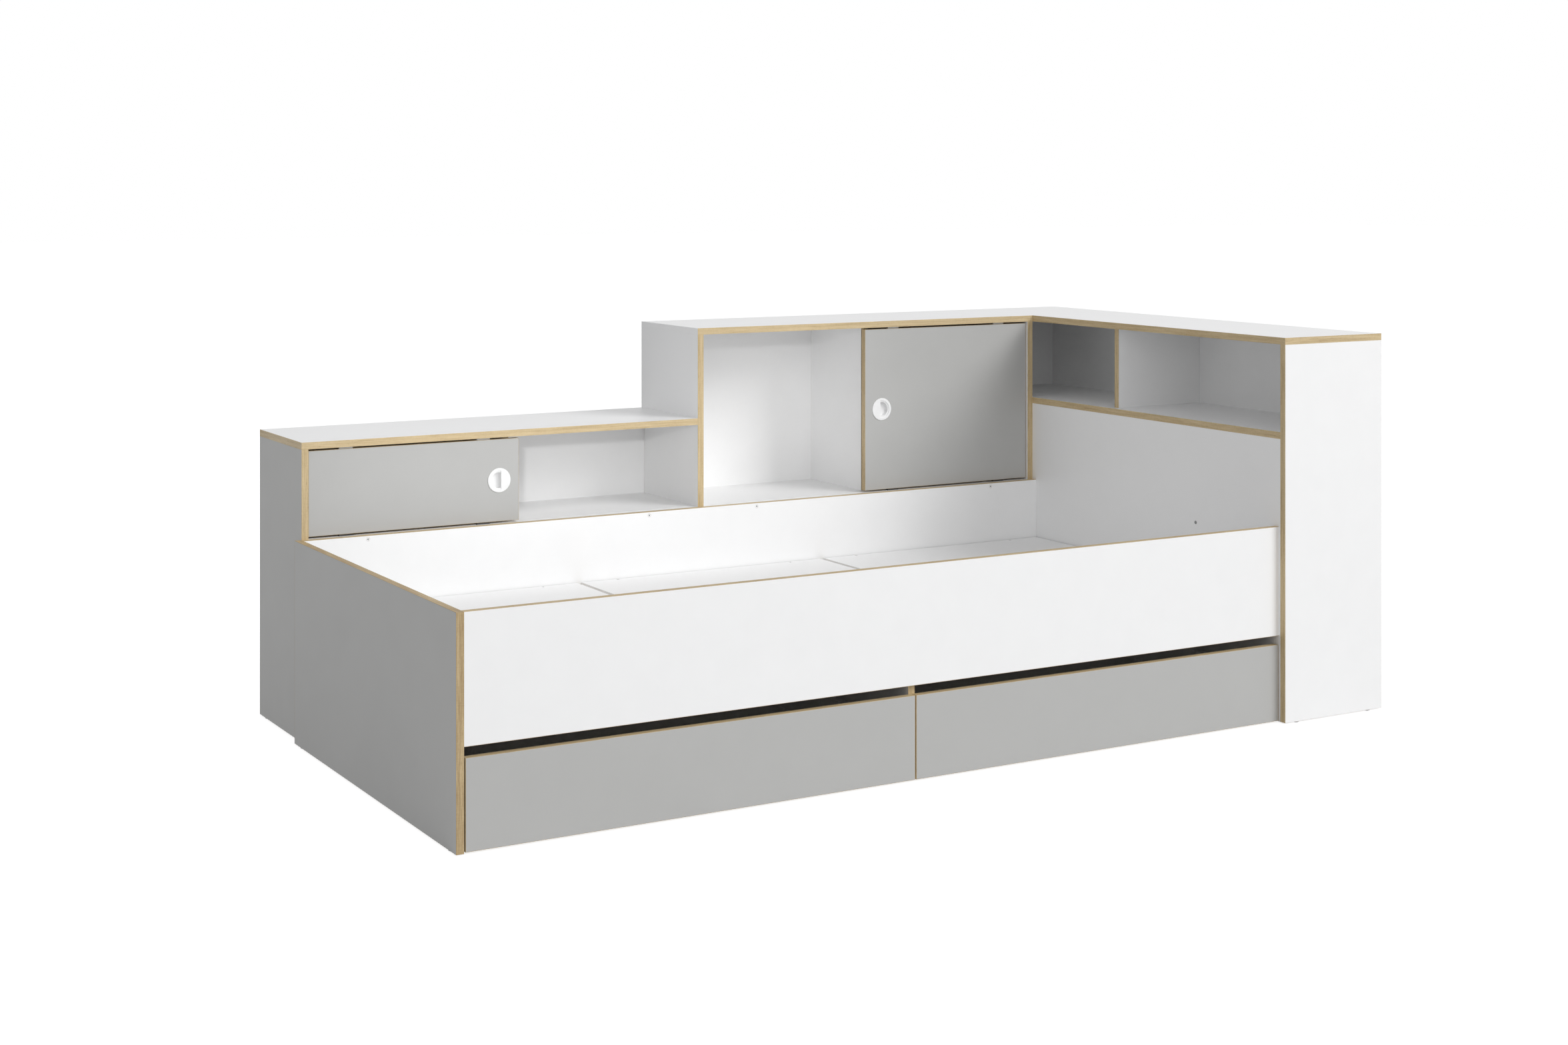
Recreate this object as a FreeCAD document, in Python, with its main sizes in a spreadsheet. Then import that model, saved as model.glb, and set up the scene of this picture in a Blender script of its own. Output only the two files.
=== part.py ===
import FreeCAD, Part
import math
import os
import re
import Sketcher

# A youth bed with a cabinet along its wall side and a bookcase across its head.
# +X runs from the footboard to the head, +Y from the open side to the cabinet, +Z up.
# The origin is on the floor, under the middle of the whole piece. Lengths are millimetres.

SIZES = {
    # Boards, their oak edge bands and the thin backs
    "board": 16.0,
    "band": 0.5,
    "band_round": 0.2,
    "back_panel": 3.0,
    "back_inset": 12.0,
    "back_lift": 20.0,
    "groove_depth": 6.5,
    "groove_reach": 6.0,
    "groove_play": 0.2,
    "cut_overrun": 1.0,
    # Bed box, inside length and width
    "bed_length": 2015.0,
    "bed_width": 920.0,
    "bed_height": 454.0,
    "rail_lower_edge": 202.0,
    "base_height": 301.0,
    "base_play": 2.5,
    "seam_gap": 12.0,
    "ledger_width": 22.0,
    "ledger_height": 40.0,
    "batten_width": 60.0,
    "centre_play": 0.4,
    # Floor glides
    "glide_radius": 7.0,
    "glide_height": 3.0,
    "glide_chamfer": 1.0,
    "glide_inset": 40.0,
    # Wall cabinets
    "cabinet_depth": 308.0,
    "low_height": 671.0,
    "high_height": 892.0,
    "divider_setback": 42.0,
    "stretcher_height": 120.0,
    "stretcher_lift": 30.0,
    # Head bookcase
    "head_depth": 304.0,
    "head_clearance": 4.0,
    "shelf_height": 673.0,
    "shelf_divider_setback": 20.0,
    # Sliding doors, their guides and the tracks routed for them
    "door_recess": 6.0,
    "door_gap": 4.5,
    "door_side_gap": 2.0,
    "door_lap": 11.0,
    "guide_length": 32.0,
    "guide_width": 11.0,
    "guide_inset": 72.0,
    "guide_play": 0.3,
    "tongue_width": 4.0,
    "tongue_height": 5.0,
    "track_play": 0.4,
    "track_depth": 6.0,
    "spigot_radius": 4.0,
    "spigot_length": 14.0,
    "spigot_fit": 0.1,
    # Flush pulls
    "pull_radius": 28.5,
    "pull_rim": 2.2,
    "pull_round": 0.8,
    "pull_body_radius": 25.0,
    "pull_depth": 11.0,
    "pull_floor": 1.5,
    "pull_mouth_radius": 22.0,
    "pull_ledge": 3.5,
    "pull_draft": 1.0,
    "pull_cover": 1.8,
    "pull_chord": 4.5,
    "pull_inset": 50.0,
    "pull_fit": 0.2,
    # Drawers
    "drawer_top": 181.0,
    "drawer_lift": 5.0,
    "drawer_gap": 3.0,
    "drawer_depth": 720.0,
    "drawer_side_play": 7.0,
    "drawer_side_top": 120.0,
    "drawer_floor_lift": 48.0,
    "drawer_bottom": 10.0,
    # Castors under the drawers
    "wheel_radius": 20.0,
    "wheel_width": 16.0,
    "wheel_chamfer": 2.0,
    "wheel_hub": 8.0,
    "wheel_tread": 4.0,
    "wheel_dish": 3.0,
    "axle_radius": 3.0,
    "axle_play": 0.06,
    "fork_wall": 2.0,
    "fork_play": 0.5,
    "fork_length": 44.0,
    "fork_drop": 8.0,
    "castor_inset": 60.0,
    "castor_setback": 70.0,
    # Screws
    "screw_radius": 2.5,
    "screw_head_radius": 4.5,
    "screw_head_height": 2.5,
    "screw_play": 0.15,
    "rail_screw_length": 50.0,
    "rail_screw_inset": 149.0,
    "base_screw_length": 36.0,
    "base_screw_inset": 91.0,
}

# Faces and heights that several pieces share, each worked out from the sizes
PLACES = {
    "foot_out": "-(board + bed_length + head_depth) / 2",
    "foot_in": "foot_out + board",
    "head_face": "foot_in + bed_length",
    "head_in": "head_face + board",
    "head_rear": "head_face + head_depth",
    "unit_front": "-(board + head_clearance + board + bed_width + board + cabinet_depth) / 2",
    "end_in": "unit_front + board",
    "bed_front": "end_in + head_clearance",
    "well_front": "bed_front + board",
    "well_back": "well_front + bed_width",
    "bed_back": "well_back + board",
    "unit_rear": "bed_back + cabinet_depth",
    "rear_in": "unit_rear - board",
    "middle": "(foot_in + head_face) / 2",
    "tall_left": "middle - board / 2",
    "tall_right": "middle + board / 2",
    "low_left": "foot_in + board",
    "high_right": "head_face - board",
    "low_middle": "(low_left + tall_left) / 2",
    "high_middle": "(tall_right + high_right) / 2",
    "bookcase_middle": "(end_in + rear_in) / 2",
    "floor_under": "bed_height - board",
    "low_under": "low_height - board",
    "high_under": "high_height - board",
    "shelf_under": "shelf_height - board",
    "base_under": "base_height - board",
    "back_rear": "unit_rear - back_inset",
    "back_front": "back_rear - back_panel",
    "head_back_rear": "head_rear - back_inset",
    "head_back_front": "head_back_rear - back_panel",
    "divider_front": "bed_back + divider_setback",
    "door_front": "bed_back + door_recess",
    "door_back": "door_front + board",
    "door_line": "door_front + board / 2",
    "door_low": "bed_height + door_gap",
    "ledger_under": "base_under - ledger_height",
    "ledger_front": "well_front + ledger_width",
    "ledger_back": "well_back - ledger_width",
    "drawer_back": "well_front + drawer_depth",
    "fork_width": "wheel_width + fork_play + fork_play + fork_wall + fork_wall",
    "pull_height": "pull_depth + pull_rim",
    "shoe_height": "door_gap - guide_play",
}

# Each side of a board: the axis it faces along, and the end of that axis
SIDES = {
    "left": ("x", "low"),
    "right": ("x", "high"),
    "front": ("y", "low"),
    "back": ("y", "high"),
    "under": ("z", "low"),
    "top": ("z", "high"),
}

BASE_BOARD_NAMES = ("foot", "middle", "head")
FULL_TURN = 360
QUARTER_TURN = 90
HALF_TURN = 180
SAME_PLACE = 1e-6

ALONG_X = FreeCAD.Rotation(FreeCAD.Vector(0, 1, 0), QUARTER_TURN)
TO_FRONT = FreeCAD.Rotation(FreeCAD.Vector(1, 0, 0), QUARTER_TURN)
UPRIGHT = FreeCAD.Rotation()
UPSIDE_DOWN = FreeCAD.Rotation(FreeCAD.Vector(1, 0, 0), HALF_TURN)

doc = FreeCAD.newDocument("youth_bed")
nodes = []
bands_by_edging = {}


def make_sheet():
    """Writes each driving size to a cell with its own alias."""
    table = doc.addObject("Spreadsheet::Sheet", "sizes")
    for row, (name, number) in enumerate(SIZES.items(), start=1):
        table.set(f"A{row}", name)
        table.set(f"B{row}", str(number))
        table.setAlias(f"B{row}", name)
    doc.recompute()
    return table


sheet = make_sheet()


def formula(text):
    """Spells a sum of sizes and places out in cells of the sheet."""
    def spell(found):
        word = found.group()
        if word in PLACES:
            return f"({formula(PLACES[word])})"
        return f"sizes.{word}"
    return re.sub("[a-z_]+", spell, text)


def value(text):
    """Works a sum of sizes and places out as a number."""
    return float(sheet.evalExpression(formula(text)))


def keep(piece, label):
    """Names a finished piece and lists it for export."""
    piece.Label = label
    nodes.append(piece)
    return piece


def block(name, spans):
    """Makes a block between three pairs of faces."""
    piece = doc.addObject("Part::Box", name)
    for axis, size, (low, high) in zip("xyz", ("Length", "Width", "Height"), spans):
        piece.setExpression(size, f"{formula(high)} - ({formula(low)})")
        piece.setExpression(f"Placement.Base.{axis}", formula(low))
    return piece


def rod(name, radius, length, turn, place):
    """Makes a round rod that starts at a place and points along its turned Z axis."""
    piece = doc.addObject("Part::Cylinder", name)
    piece.Placement = FreeCAD.Placement(FreeCAD.Vector(), turn)
    piece.setExpression("Radius", formula(radius))
    piece.setExpression("Height", formula(length))
    for axis, text in zip("xyz", place):
        piece.setExpression(f"Placement.Base.{axis}", formula(text))
    return piece


def cut(base, tool):
    """Takes one shape out of another."""
    piece = doc.addObject("Part::Cut", f"{base.Name}_cut")
    piece.Base = base
    piece.Tool = tool
    return piece


def fuse(base, tool):
    """Joins two shapes into one solid."""
    piece = doc.addObject("Part::Fuse", f"{base.Name}_joined")
    piece.Base = base
    piece.Tool = tool
    return piece


def side_place(side):
    """Gives the places of a side's axis in x, y, z and of its end in low, high."""
    axis, end = SIDES[side]
    return "xyz".index(axis), ("low", "high").index(end)


def board(label, spans, edging=None, bands=(), cuts=(), band_cuts=()):
    """Makes a board, less the edge bands on its listed sides and the listed cuts.

    The first band listed runs the whole edge, and each later one stops against it.
    """
    spans = [list(span) for span in spans]
    for side in bands:
        axis, end = side_place(side)
        strip = [list(span) for span in spans]
        inner = f"{spans[axis][end]} {'-' if end else '+'} band"
        strip[axis][1 - end] = inner
        spans[axis][end] = inner
        add_band(edging, block(f"{label}_{side}_band", strip), side, band_cuts)
    piece = block(f"{label}_blank", spans)
    for tool in cuts:
        piece = cut(piece, tool)
    return keep(piece, label)


def add_band(edging, strip, side, cuts=()):
    """Lists an edge band with the side it is glued to and the holes through it."""
    bands_by_edging.setdefault(edging, []).append((strip, side, cuts))


def rounded_band(strip, side, cuts):
    """Rounds the two long outer edges of an edge band and makes the holes through it."""
    axis, end = side_place(side)
    box = strip.Shape.BoundBox
    outer = ((box.XMin, box.XMax), (box.YMin, box.YMax), (box.ZMin, box.ZMax))[axis][end]
    longest = max(edge.Length for edge in strip.Shape.Edges)
    radius = value("band_round")
    chosen = []
    for number, edge in enumerate(strip.Shape.Edges, start=1):
        on_outer_face = abs(edge.CenterOfMass[axis] - outer) < SAME_PLACE
        if on_outer_face and abs(edge.Length - longest) < SAME_PLACE:
            chosen.append((number, radius, radius))
    band = doc.addObject("Part::Fillet", f"{strip.Name}_rounded")
    band.Base = strip
    band.Edges = chosen
    for tool in cuts:
        band = cut(band, tool)
    return band


def make_edgings():
    """Rounds every edge band and gathers each sub-assembly's bands in one piece."""
    doc.recompute()
    for label, strips in bands_by_edging.items():
        bundle = doc.addObject("Part::Compound", label)
        bundle.Links = [rounded_band(*band) for band in strips]
        keep(bundle, label)


def body_sketch(body, name, role):
    """Adds an empty sketch on one of a body's own planes."""
    sketch = body.newObject("Sketcher::SketchObject", name)
    plane = next(item for item in body.Origin.OriginFeatures if item.Role == role)
    sketch.AttachmentSupport = [(plane, "")]
    sketch.MapMode = "FlatFace"
    return sketch


def tie(sketch, kind, line, text):
    """Ties the start of a sketch line to a distance from the sketch's origin."""
    index = sketch.addConstraint(Sketcher.Constraint(kind, -1, 1, line, 1, value(text)))
    sketch.renameConstraint(index, f"{kind}{line}")
    sketch.setExpression(f"Constraints.{kind}{line}", formula(text))


def outline(sketch, points):
    """Draws a closed outline through points, each a pair of sums of sizes."""
    corners = [FreeCAD.Vector(value(across), value(up), 0) for across, up in points]
    following = [(line + 1) % len(points) for line in range(len(points))]
    for line, after in enumerate(following):
        sketch.addGeometry(Part.LineSegment(corners[line], corners[after]), False)
    for line, after in enumerate(following):
        sketch.addConstraint(Sketcher.Constraint("Coincident", line, 2, after, 1))
    for line, (across, up) in enumerate(points):
        for kind, text, zero_axis in (("DistanceX", across, -2), ("DistanceY", up, -1)):
            if text == "0":
                sketch.addConstraint(Sketcher.Constraint("PointOnObject", line, 1, zero_axis))
            else:
                tie(sketch, kind, line, text)


def turned(name, points):
    """Turns a half section, given as radius and height pairs, about the Z axis."""
    body = doc.addObject("PartDesign::Body", name)
    sketch = body_sketch(body, f"{name}_section", "XZ_Plane")
    outline(sketch, points)
    turn = body.newObject("PartDesign::Revolution", f"{name}_turn")
    turn.Profile = sketch
    turn.ReferenceAxis = (sketch, ["V_Axis"])
    turn.Angle = FULL_TURN
    doc.recompute()
    return body


def padded(name, role, points, length):
    """Extrudes an outline equally to both sides of one of its body's planes."""
    body = doc.addObject("PartDesign::Body", name)
    sketch = body_sketch(body, f"{name}_section", role)
    outline(sketch, points)
    pad = body.newObject("PartDesign::Pad", f"{name}_pad")
    pad.Profile = sketch
    pad.Midplane = True
    pad.setExpression("Length", formula(length))
    doc.recompute()
    return body


def spread(master, turn, places):
    """Gives copies of a master piece, turned and set at a list of places."""
    solids = []
    for place in places:
        solid = master.Shape.copy()
        solid.Placement = FreeCAD.Placement(FreeCAD.Vector(*map(value, place)), turn) * solid.Placement
        solids.append(solid)
    return solids


def solid_set(name, solids):
    """Holds separate solids in one object."""
    piece = doc.addObject("Part::Feature", f"{name}_set")
    piece.Shape = Part.makeCompound(solids)
    return piece


def copies(label, master, turn, places):
    """Keeps copies of a master piece as the separate solids of one named piece."""
    return keep(solid_set(label, spread(master, turn, places)), label)


def screw_holes(name, length, turn, places):
    """Makes the holes for screws at a list of places as one cutting shape."""
    master = turned(f"{name}_section", screw_section(length, "screw_play"))
    return solid_set(name, spread(master, turn, places))


def screw_section(length, play):
    """Gives the half section of a countersunk screw, widened by a play all round."""
    return (
        ("0", "0"),
        (f"screw_radius + {play}", "0"),
        (f"screw_radius + {play}", f"{length} - screw_head_height"),
        (f"screw_head_radius + {play}", length),
        ("0", length),
    )


def base_board_span(index):
    """Gives the two ends of a base board: play at the ends of the bed, a wider gap at each seam."""
    share = f"bed_length / {len(BASE_BOARD_NAMES)}"
    ends = []
    for seam, sign in ((index, "+"), (index + 1, "-")):
        room = "seam_gap / 2" if 0 < seam < len(BASE_BOARD_NAMES) else "base_play"
        ends.append(f"foot_in + {seam} * {share} {sign} {room}")
    return tuple(ends)


def make_bed():
    """Makes the footboard, rails, mattress base and what carries them."""
    rail_x = ("foot_in", "head_face")
    rail_z = ("rail_lower_edge", "bed_height")
    rail_screws = [
        (x, "well_back + rail_screw_length", "floor_under + board / 2")
        for x in (
            "foot_in + rail_screw_inset",
            "middle - rail_screw_inset",
            "middle + rail_screw_inset",
            "head_face - rail_screw_inset",
        )
    ]
    rail_holes = screw_holes("rail_holes", "rail_screw_length", TO_FRONT, rail_screws)
    master = turned("rail_screw", screw_section("rail_screw_length", "0"))
    copies("rail_screws", master, TO_FRONT, rail_screws)
    board(
        "footboard",
        (("foot_out", "foot_in"), ("bed_front", "bed_back"), ("glide_height", "bed_height")),
        "bed_edging", ("top", "front", "back"),
    )
    rail_bands = ("top", "under")
    board("front_rail", (rail_x, ("bed_front", "well_front"), rail_z), "bed_edging", rail_bands)
    board("back_rail", (rail_x, ("well_back", "bed_back"), rail_z), "bed_edging", rail_bands, (rail_holes,))
    centre_y = ("well_front + centre_play", "well_back")
    board(
        "centre_panel",
        (("tall_left", "tall_right"), centre_y, ("glide_height", "base_under")),
        "bed_edging", ("front",),
    )
    make_base()
    return rail_holes


def make_base():
    """Makes the three base boards, the ledgers under them and the battens under their seams."""
    across = ("well_front + base_play", "well_back - base_play")
    screw_places = []
    for index in range(len(BASE_BOARD_NAMES)):
        low, high = base_board_span(index)
        for x in (f"{low} + base_screw_inset", f"{high} - base_screw_inset"):
            for y in ("well_front + ledger_width / 2", "well_back - ledger_width / 2"):
                screw_places.append((x, y, "base_height - base_screw_length"))
    tool = screw_holes("base_holes", "base_screw_length", UPRIGHT, screw_places)
    master = turned("base_screw", screw_section("base_screw_length", "0"))
    copies("base_board_screws", master, UPRIGHT, screw_places)
    for index, name in enumerate(BASE_BOARD_NAMES):
        spans = (base_board_span(index), across, ("base_under", "base_height"))
        board(f"base_board_{name}", spans, cuts=(tool,))
    height = ("ledger_under", "base_under")
    ledgers = []
    for bay, (low, high) in enumerate((("foot_in", "tall_left"), ("tall_right", "head_face"))):
        for name, y in (("front", ("well_front", "ledger_front")), ("back", ("ledger_back", "well_back"))):
            ledgers.append(cut(block(f"ledger_{name}_{bay}", ((low, high), y, height)), tool))
    between = ("ledger_front", "ledger_back")
    ledgers.append(block("ledger_foot", (("foot_in", "foot_in + ledger_width"), between, height)))
    ledgers.append(block("ledger_head", (("head_face - ledger_width", "head_face"), between, height)))
    gather("base_ledgers", ledgers)
    battens = []
    for index in range(1, len(BASE_BOARD_NAMES)):
        seam = f"foot_in + {index} * bed_length / {len(BASE_BOARD_NAMES)}"
        x = (f"{seam} - batten_width / 2", f"{seam} + batten_width / 2")
        battens.append(block(f"batten_{index}", (x, between, ("base_under - board", "base_under"))))
    gather("seam_battens", battens)


def gather(label, members):
    """Keeps several separate solids as one named piece."""
    bundle = doc.addObject("Part::Compound", f"{label}_group")
    bundle.Links = members
    return keep(bundle, label)


def back_groove(name, x, z):
    """Makes the slot that a cabinet's back panel slides in."""
    return block(name, (x, ("back_front - groove_play", "back_rear + groove_play"), z))


def door_track(name, x, z):
    """Makes the slot that a sliding door's guides run in."""
    half = "(tongue_width / 2 + track_play)"
    return block(name, (x, (f"door_line - {half}", f"door_line + {half}"), z))


def make_cabinet_sides():
    """Makes the three uprights of the wall cabinets, grooved for the backs."""
    depth = ("bed_back", "unit_rear")
    low_z = ("glide_height", "low_under")
    high_z = ("glide_height", "high_under")
    slot_z = ("glide_height - cut_overrun", "high_under + cut_overrun")
    low_slot = back_groove("low_slot", ("low_left - groove_depth", "low_left + cut_overrun"), slot_z)
    tall_slots = (
        back_groove("tall_slot_low", ("tall_left - cut_overrun", "tall_left + groove_depth"),
                    ("glide_height - cut_overrun", "low_under + groove_depth")),
        back_groove("tall_slot_high", ("tall_right - groove_depth", "tall_right + cut_overrun"), slot_z),
    )
    high_slot = back_groove("high_slot", ("high_right - cut_overrun", "high_right + groove_depth"), slot_z)
    for label, x, z, slots in (
        ("low_cabinet_side", ("foot_in", "low_left"), low_z, (low_slot,)),
        ("tall_side", ("tall_left", "tall_right"), high_z, tall_slots),
        ("high_cabinet_side", ("high_right", "head_face"), high_z, (high_slot,)),
    ):
        board(label, (x, depth, z), "cabinet_edging", ("front",), slots)


def make_cabinet(name, inner, outer, under, height, middle, end_bands, rail_holes):
    """Makes a wall cabinet's floor, top, divider and back between two uprights."""
    low, high = inner
    depth = ("bed_back", "back_front")
    floor_track = door_track(f"{name}_floor_track", inner,
                             ("bed_height - track_depth", "bed_height + cut_overrun"))
    top_track = door_track(f"{name}_top_track", inner, (f"{under} - cut_overrun", f"{under} + track_depth"))
    top_slot = back_groove(f"{name}_top_slot", (f"{low} - groove_depth", f"{high} + groove_depth"),
                           (f"{under} - cut_overrun", f"{under} + groove_depth"))
    floor_z = ("floor_under", "bed_height")
    board(f"{name}_cabinet_floor", (inner, depth, floor_z), cuts=(rail_holes, floor_track))
    board(f"{name}_cabinet_top", (outer, ("bed_back", "unit_rear"), (under, height)), "cabinet_edging",
          end_bands, (top_track, top_slot))
    divider_x = (f"{middle} - board / 2", f"{middle} + board / 2")
    board(f"{name}_cabinet_divider", (divider_x, ("divider_front", "back_front"), ("bed_height", under)),
          "cabinet_edging", ("front",))
    board(f"{name}_cabinet_back",
          ((f"{low} - groove_reach", f"{high} + groove_reach"), ("back_front", "back_rear"),
           ("back_lift", f"{under} + groove_reach")))


def make_cabinets(rail_holes):
    """Makes both wall cabinets and the stretchers near the floor behind them."""
    make_cabinet_sides()
    make_cabinet("low", ("low_left", "tall_left"), ("foot_in", "tall_left"), "low_under", "low_height",
                 "low_middle", ("front", "left"), rail_holes)
    make_cabinet("high", ("tall_right", "high_right"), ("tall_left", "head_face"), "high_under",
                 "high_height", "high_middle", ("front",), rail_holes)
    y = ("back_front - board", "back_front")
    z = ("stretcher_lift", "stretcher_lift + stretcher_height")
    spans = (("low_left", "tall_left"), ("tall_right", "high_right"))
    gather("cabinet_stretchers", [block(f"stretcher_{bay}", (x, y, z)) for bay, x in enumerate(spans)])


def make_bookcase():
    """Makes the head bookcase: two ends, head panel, shelf, divider, top and back."""
    depth = ("head_face", "head_rear")
    height = ("glide_height", "high_under")
    slot_x = ("head_back_front - groove_play", "head_back_rear + groove_play")
    slot_z = ("glide_height - cut_overrun", "high_under + cut_overrun")
    front_slot = block("end_slot_front", (slot_x, ("end_in - groove_depth", "end_in + cut_overrun"), slot_z))
    rear_slot = block("end_slot_rear", (slot_x, ("rear_in - cut_overrun", "rear_in + groove_depth"), slot_z))
    top_slot = block("bookcase_top_slot", (slot_x, ("end_in - groove_depth", "rear_in + groove_depth"),
                                           ("high_under - cut_overrun", "high_under + groove_depth")))
    inside = ("end_in", "rear_in")
    board("bookcase_end_front", (depth, ("unit_front", "end_in"), height), "bookcase_edging", ("left",),
          (front_slot,))
    board("bookcase_end_rear", (depth, ("rear_in", "unit_rear"), height), cuts=(rear_slot,))
    board("head_panel", (("head_face", "head_in"), inside, ("glide_height", "shelf_under")))
    board("bookcase_shelf", (("head_face", "head_back_front"), inside, ("shelf_under", "shelf_height")),
          "bookcase_edging", ("left",))
    half = "board / 2"
    board("bookcase_divider",
          (("head_face + shelf_divider_setback", "head_back_front"),
           (f"bookcase_middle - {half}", f"bookcase_middle + {half}"), ("shelf_height", "high_under")),
          "bookcase_edging", ("left",))
    top_z = ("high_under", "high_height")
    strip_x = ("head_face", "head_face + band")
    strip = block("bookcase_top_left_band", (strip_x, ("unit_front", "bed_back"), top_z))
    add_band("bookcase_edging", strip, "left")
    room = block("bookcase_top_rebate", (("head_face - cut_overrun", "head_face + band"),
                                         ("unit_front - cut_overrun", "bed_back"),
                                         ("high_under - cut_overrun", "high_height + cut_overrun")))
    end_strip = block("bookcase_top_front_band", (("head_face + band", "head_rear"),
                                                  ("unit_front", "unit_front + band"), top_z))
    add_band("bookcase_edging", end_strip, "front")
    board("bookcase_top", (depth, ("unit_front + band", "unit_rear"), top_z), cuts=(room, top_slot))
    board("bookcase_back", (("head_back_front", "head_back_rear"),
                            ("end_in - groove_reach", "rear_in + groove_reach"),
                            ("back_lift", "high_under + groove_reach")))


def make_pull():
    """Makes a flush pull: a turned cup with a rim and a ledge, and a cover on one side of the ledge."""
    ledge = "pull_height - pull_cover"
    ledge_radius = "pull_mouth_radius - pull_ledge"
    body = turned("pull", (
        ("0", "0"),
        ("pull_body_radius", "0"),
        ("pull_body_radius", "pull_depth"),
        ("pull_radius", "pull_depth"),
        ("pull_radius", "pull_height - pull_round"),
        ("pull_radius - pull_round", "pull_height"),
        ("pull_mouth_radius", "pull_height"),
        ("pull_mouth_radius", ledge),
        (ledge_radius, ledge),
        (f"{ledge_radius} - pull_draft", "pull_floor"),
        ("0", "pull_floor"),
    ))
    sketch = body_sketch(body, "cover_outline", "XY_Plane")
    sketch.setExpression("AttachmentOffset.Base.z", formula(ledge))
    radius = value("(pull_mouth_radius + pull_body_radius) / 2")
    half_angle = math.acos(value("pull_chord") / radius)
    circle = Part.Circle(FreeCAD.Vector(), FreeCAD.Vector(0, 0, 1), radius)
    sketch.addGeometry(Part.ArcOfCircle(circle, -half_angle, half_angle), False)
    ends = [FreeCAD.Vector(value("pull_chord"), side * radius * math.sin(half_angle), 0) for side in (1, -1)]
    sketch.addGeometry(Part.LineSegment(*ends), False)
    sketch.addConstraint(Sketcher.Constraint("Coincident", 0, 3, -1, 1))
    sketch.addConstraint(Sketcher.Constraint("Coincident", 0, 2, 1, 1))
    sketch.addConstraint(Sketcher.Constraint("Coincident", 1, 2, 0, 1))
    sketch.addConstraint(Sketcher.Constraint("Vertical", 1))
    tie(sketch, "DistanceX", 1, "pull_chord")
    index = sketch.addConstraint(Sketcher.Constraint("Radius", 0, radius))
    sketch.renameConstraint(index, "cover_radius")
    sketch.setExpression("Constraints.cover_radius", formula("(pull_mouth_radius + pull_body_radius) / 2"))
    cover = body.newObject("PartDesign::Pad", "cover_pad")
    cover.Profile = sketch
    cover.setExpression("Length", formula("pull_cover"))
    doc.recompute()
    return body


def make_guide():
    """Makes a door guide: a shoe with a tongue for the track and a spigot for the door's edge.

    It points up from the door's edge, with its length along X.
    """
    tongue = [f"(guide_width {sign} tongue_width) / 2" for sign in "-+"]
    top = "shoe_height + tongue_height"
    profile = padded("guide_shoe", "YZ_Plane", (
        ("0", "0"),
        ("guide_width", "0"),
        ("guide_width", "shoe_height"),
        (tongue[1], "shoe_height"),
        (tongue[1], top),
        (tongue[0], top),
        (tongue[0], "shoe_height"),
        ("0", "shoe_height"),
    ), "guide_length")
    middle = "guide_width / 2"
    spigot = rod("guide_spigot", "spigot_radius", "spigot_length", UPRIGHT, ("0", middle, "-spigot_length"))
    guide = fuse(profile, spigot)
    hole_depth = "spigot_length + spigot_fit"
    hole = rod("guide_hole", "spigot_radius + spigot_fit", f"{hole_depth} + cut_overrun", UPRIGHT,
               ("0", middle, f"-({hole_depth})"))
    doc.recompute()
    return guide, hole


def guide_set(name, master, x, z):
    """Sets two copies of a guide, or of its hole, on a door's top edge and two on its lower edge."""
    reach = "guide_inset + guide_length / 2"
    centres = (f"{x[0]} + {reach}", f"{x[1]} - ({reach})")
    half = "guide_width / 2"
    upper = [(centre, f"door_line - {half}", z[1]) for centre in centres]
    lower = [(centre, f"door_line + {half}", z[0]) for centre in centres]
    return solid_set(name, spread(master, UPRIGHT, upper) + spread(master, UPSIDE_DOWN, lower))


def make_door(side, x, under, pull_x, pull_turn, pull, guide, guide_hole):
    """Makes a sliding door: bored panel, edge bands, flush pull and four guides."""
    z = ("door_low", f"{under} - door_gap")
    pull_z = f"({z[0]} + {z[1]}) / 2"
    bore_end = "door_front + pull_depth + pull_fit"
    bore = rod(f"{side}_pull_bore", "pull_body_radius + pull_fit", "pull_depth + pull_fit + cut_overrun",
               TO_FRONT, (pull_x, bore_end, pull_z))
    spigot_holes = guide_set(f"{side}_guide_holes", guide_hole, x, z)
    board(f"{side}_door_panel", (x, ("door_front", "door_back"), z), f"{side}_door_edging",
          ("left", "right", "top", "under"), (bore, spigot_holes), (spigot_holes,))
    facing = TO_FRONT * FreeCAD.Rotation(FreeCAD.Vector(0, 0, 1), pull_turn)
    copies(f"{side}_door_pull", pull, facing, [(pull_x, "door_front + pull_depth", pull_z)])
    keep(guide_set(f"{side}_guides", guide, x, z), f"{side}_door_guides")


def make_doors():
    """Makes the door of each wall cabinet, over the half away from the middle upright."""
    pull = make_pull()
    guide, guide_hole = make_guide()
    left_x = ("low_left + door_side_gap", "low_middle + board / 2 + door_lap")
    right_x = ("high_middle - board / 2 - door_lap", "high_right - door_side_gap")
    make_door("left", left_x, "low_under", f"{left_x[1]} - pull_inset", 0, pull, guide, guide_hole)
    make_door("right", right_x, "high_under", f"{right_x[0]} + pull_inset", HALF_TURN, pull,
              guide, guide_hole)


def make_wheel():
    """Makes a castor wheel with dished faces and a bored hub."""
    bore = "axle_radius + axle_play"
    tread = "wheel_radius - wheel_tread"
    half = (
        (bore, "0"),
        ("wheel_hub", "0"),
        ("wheel_hub", "wheel_dish"),
        (tread, "wheel_dish"),
        (tread, "0"),
        ("wheel_radius - wheel_chamfer", "0"),
        ("wheel_radius", "wheel_chamfer"),
    )
    other_half = tuple((radius, f"wheel_width - {height}") for radius, height in half[::-1])
    return turned("wheel", half + other_half)


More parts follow.
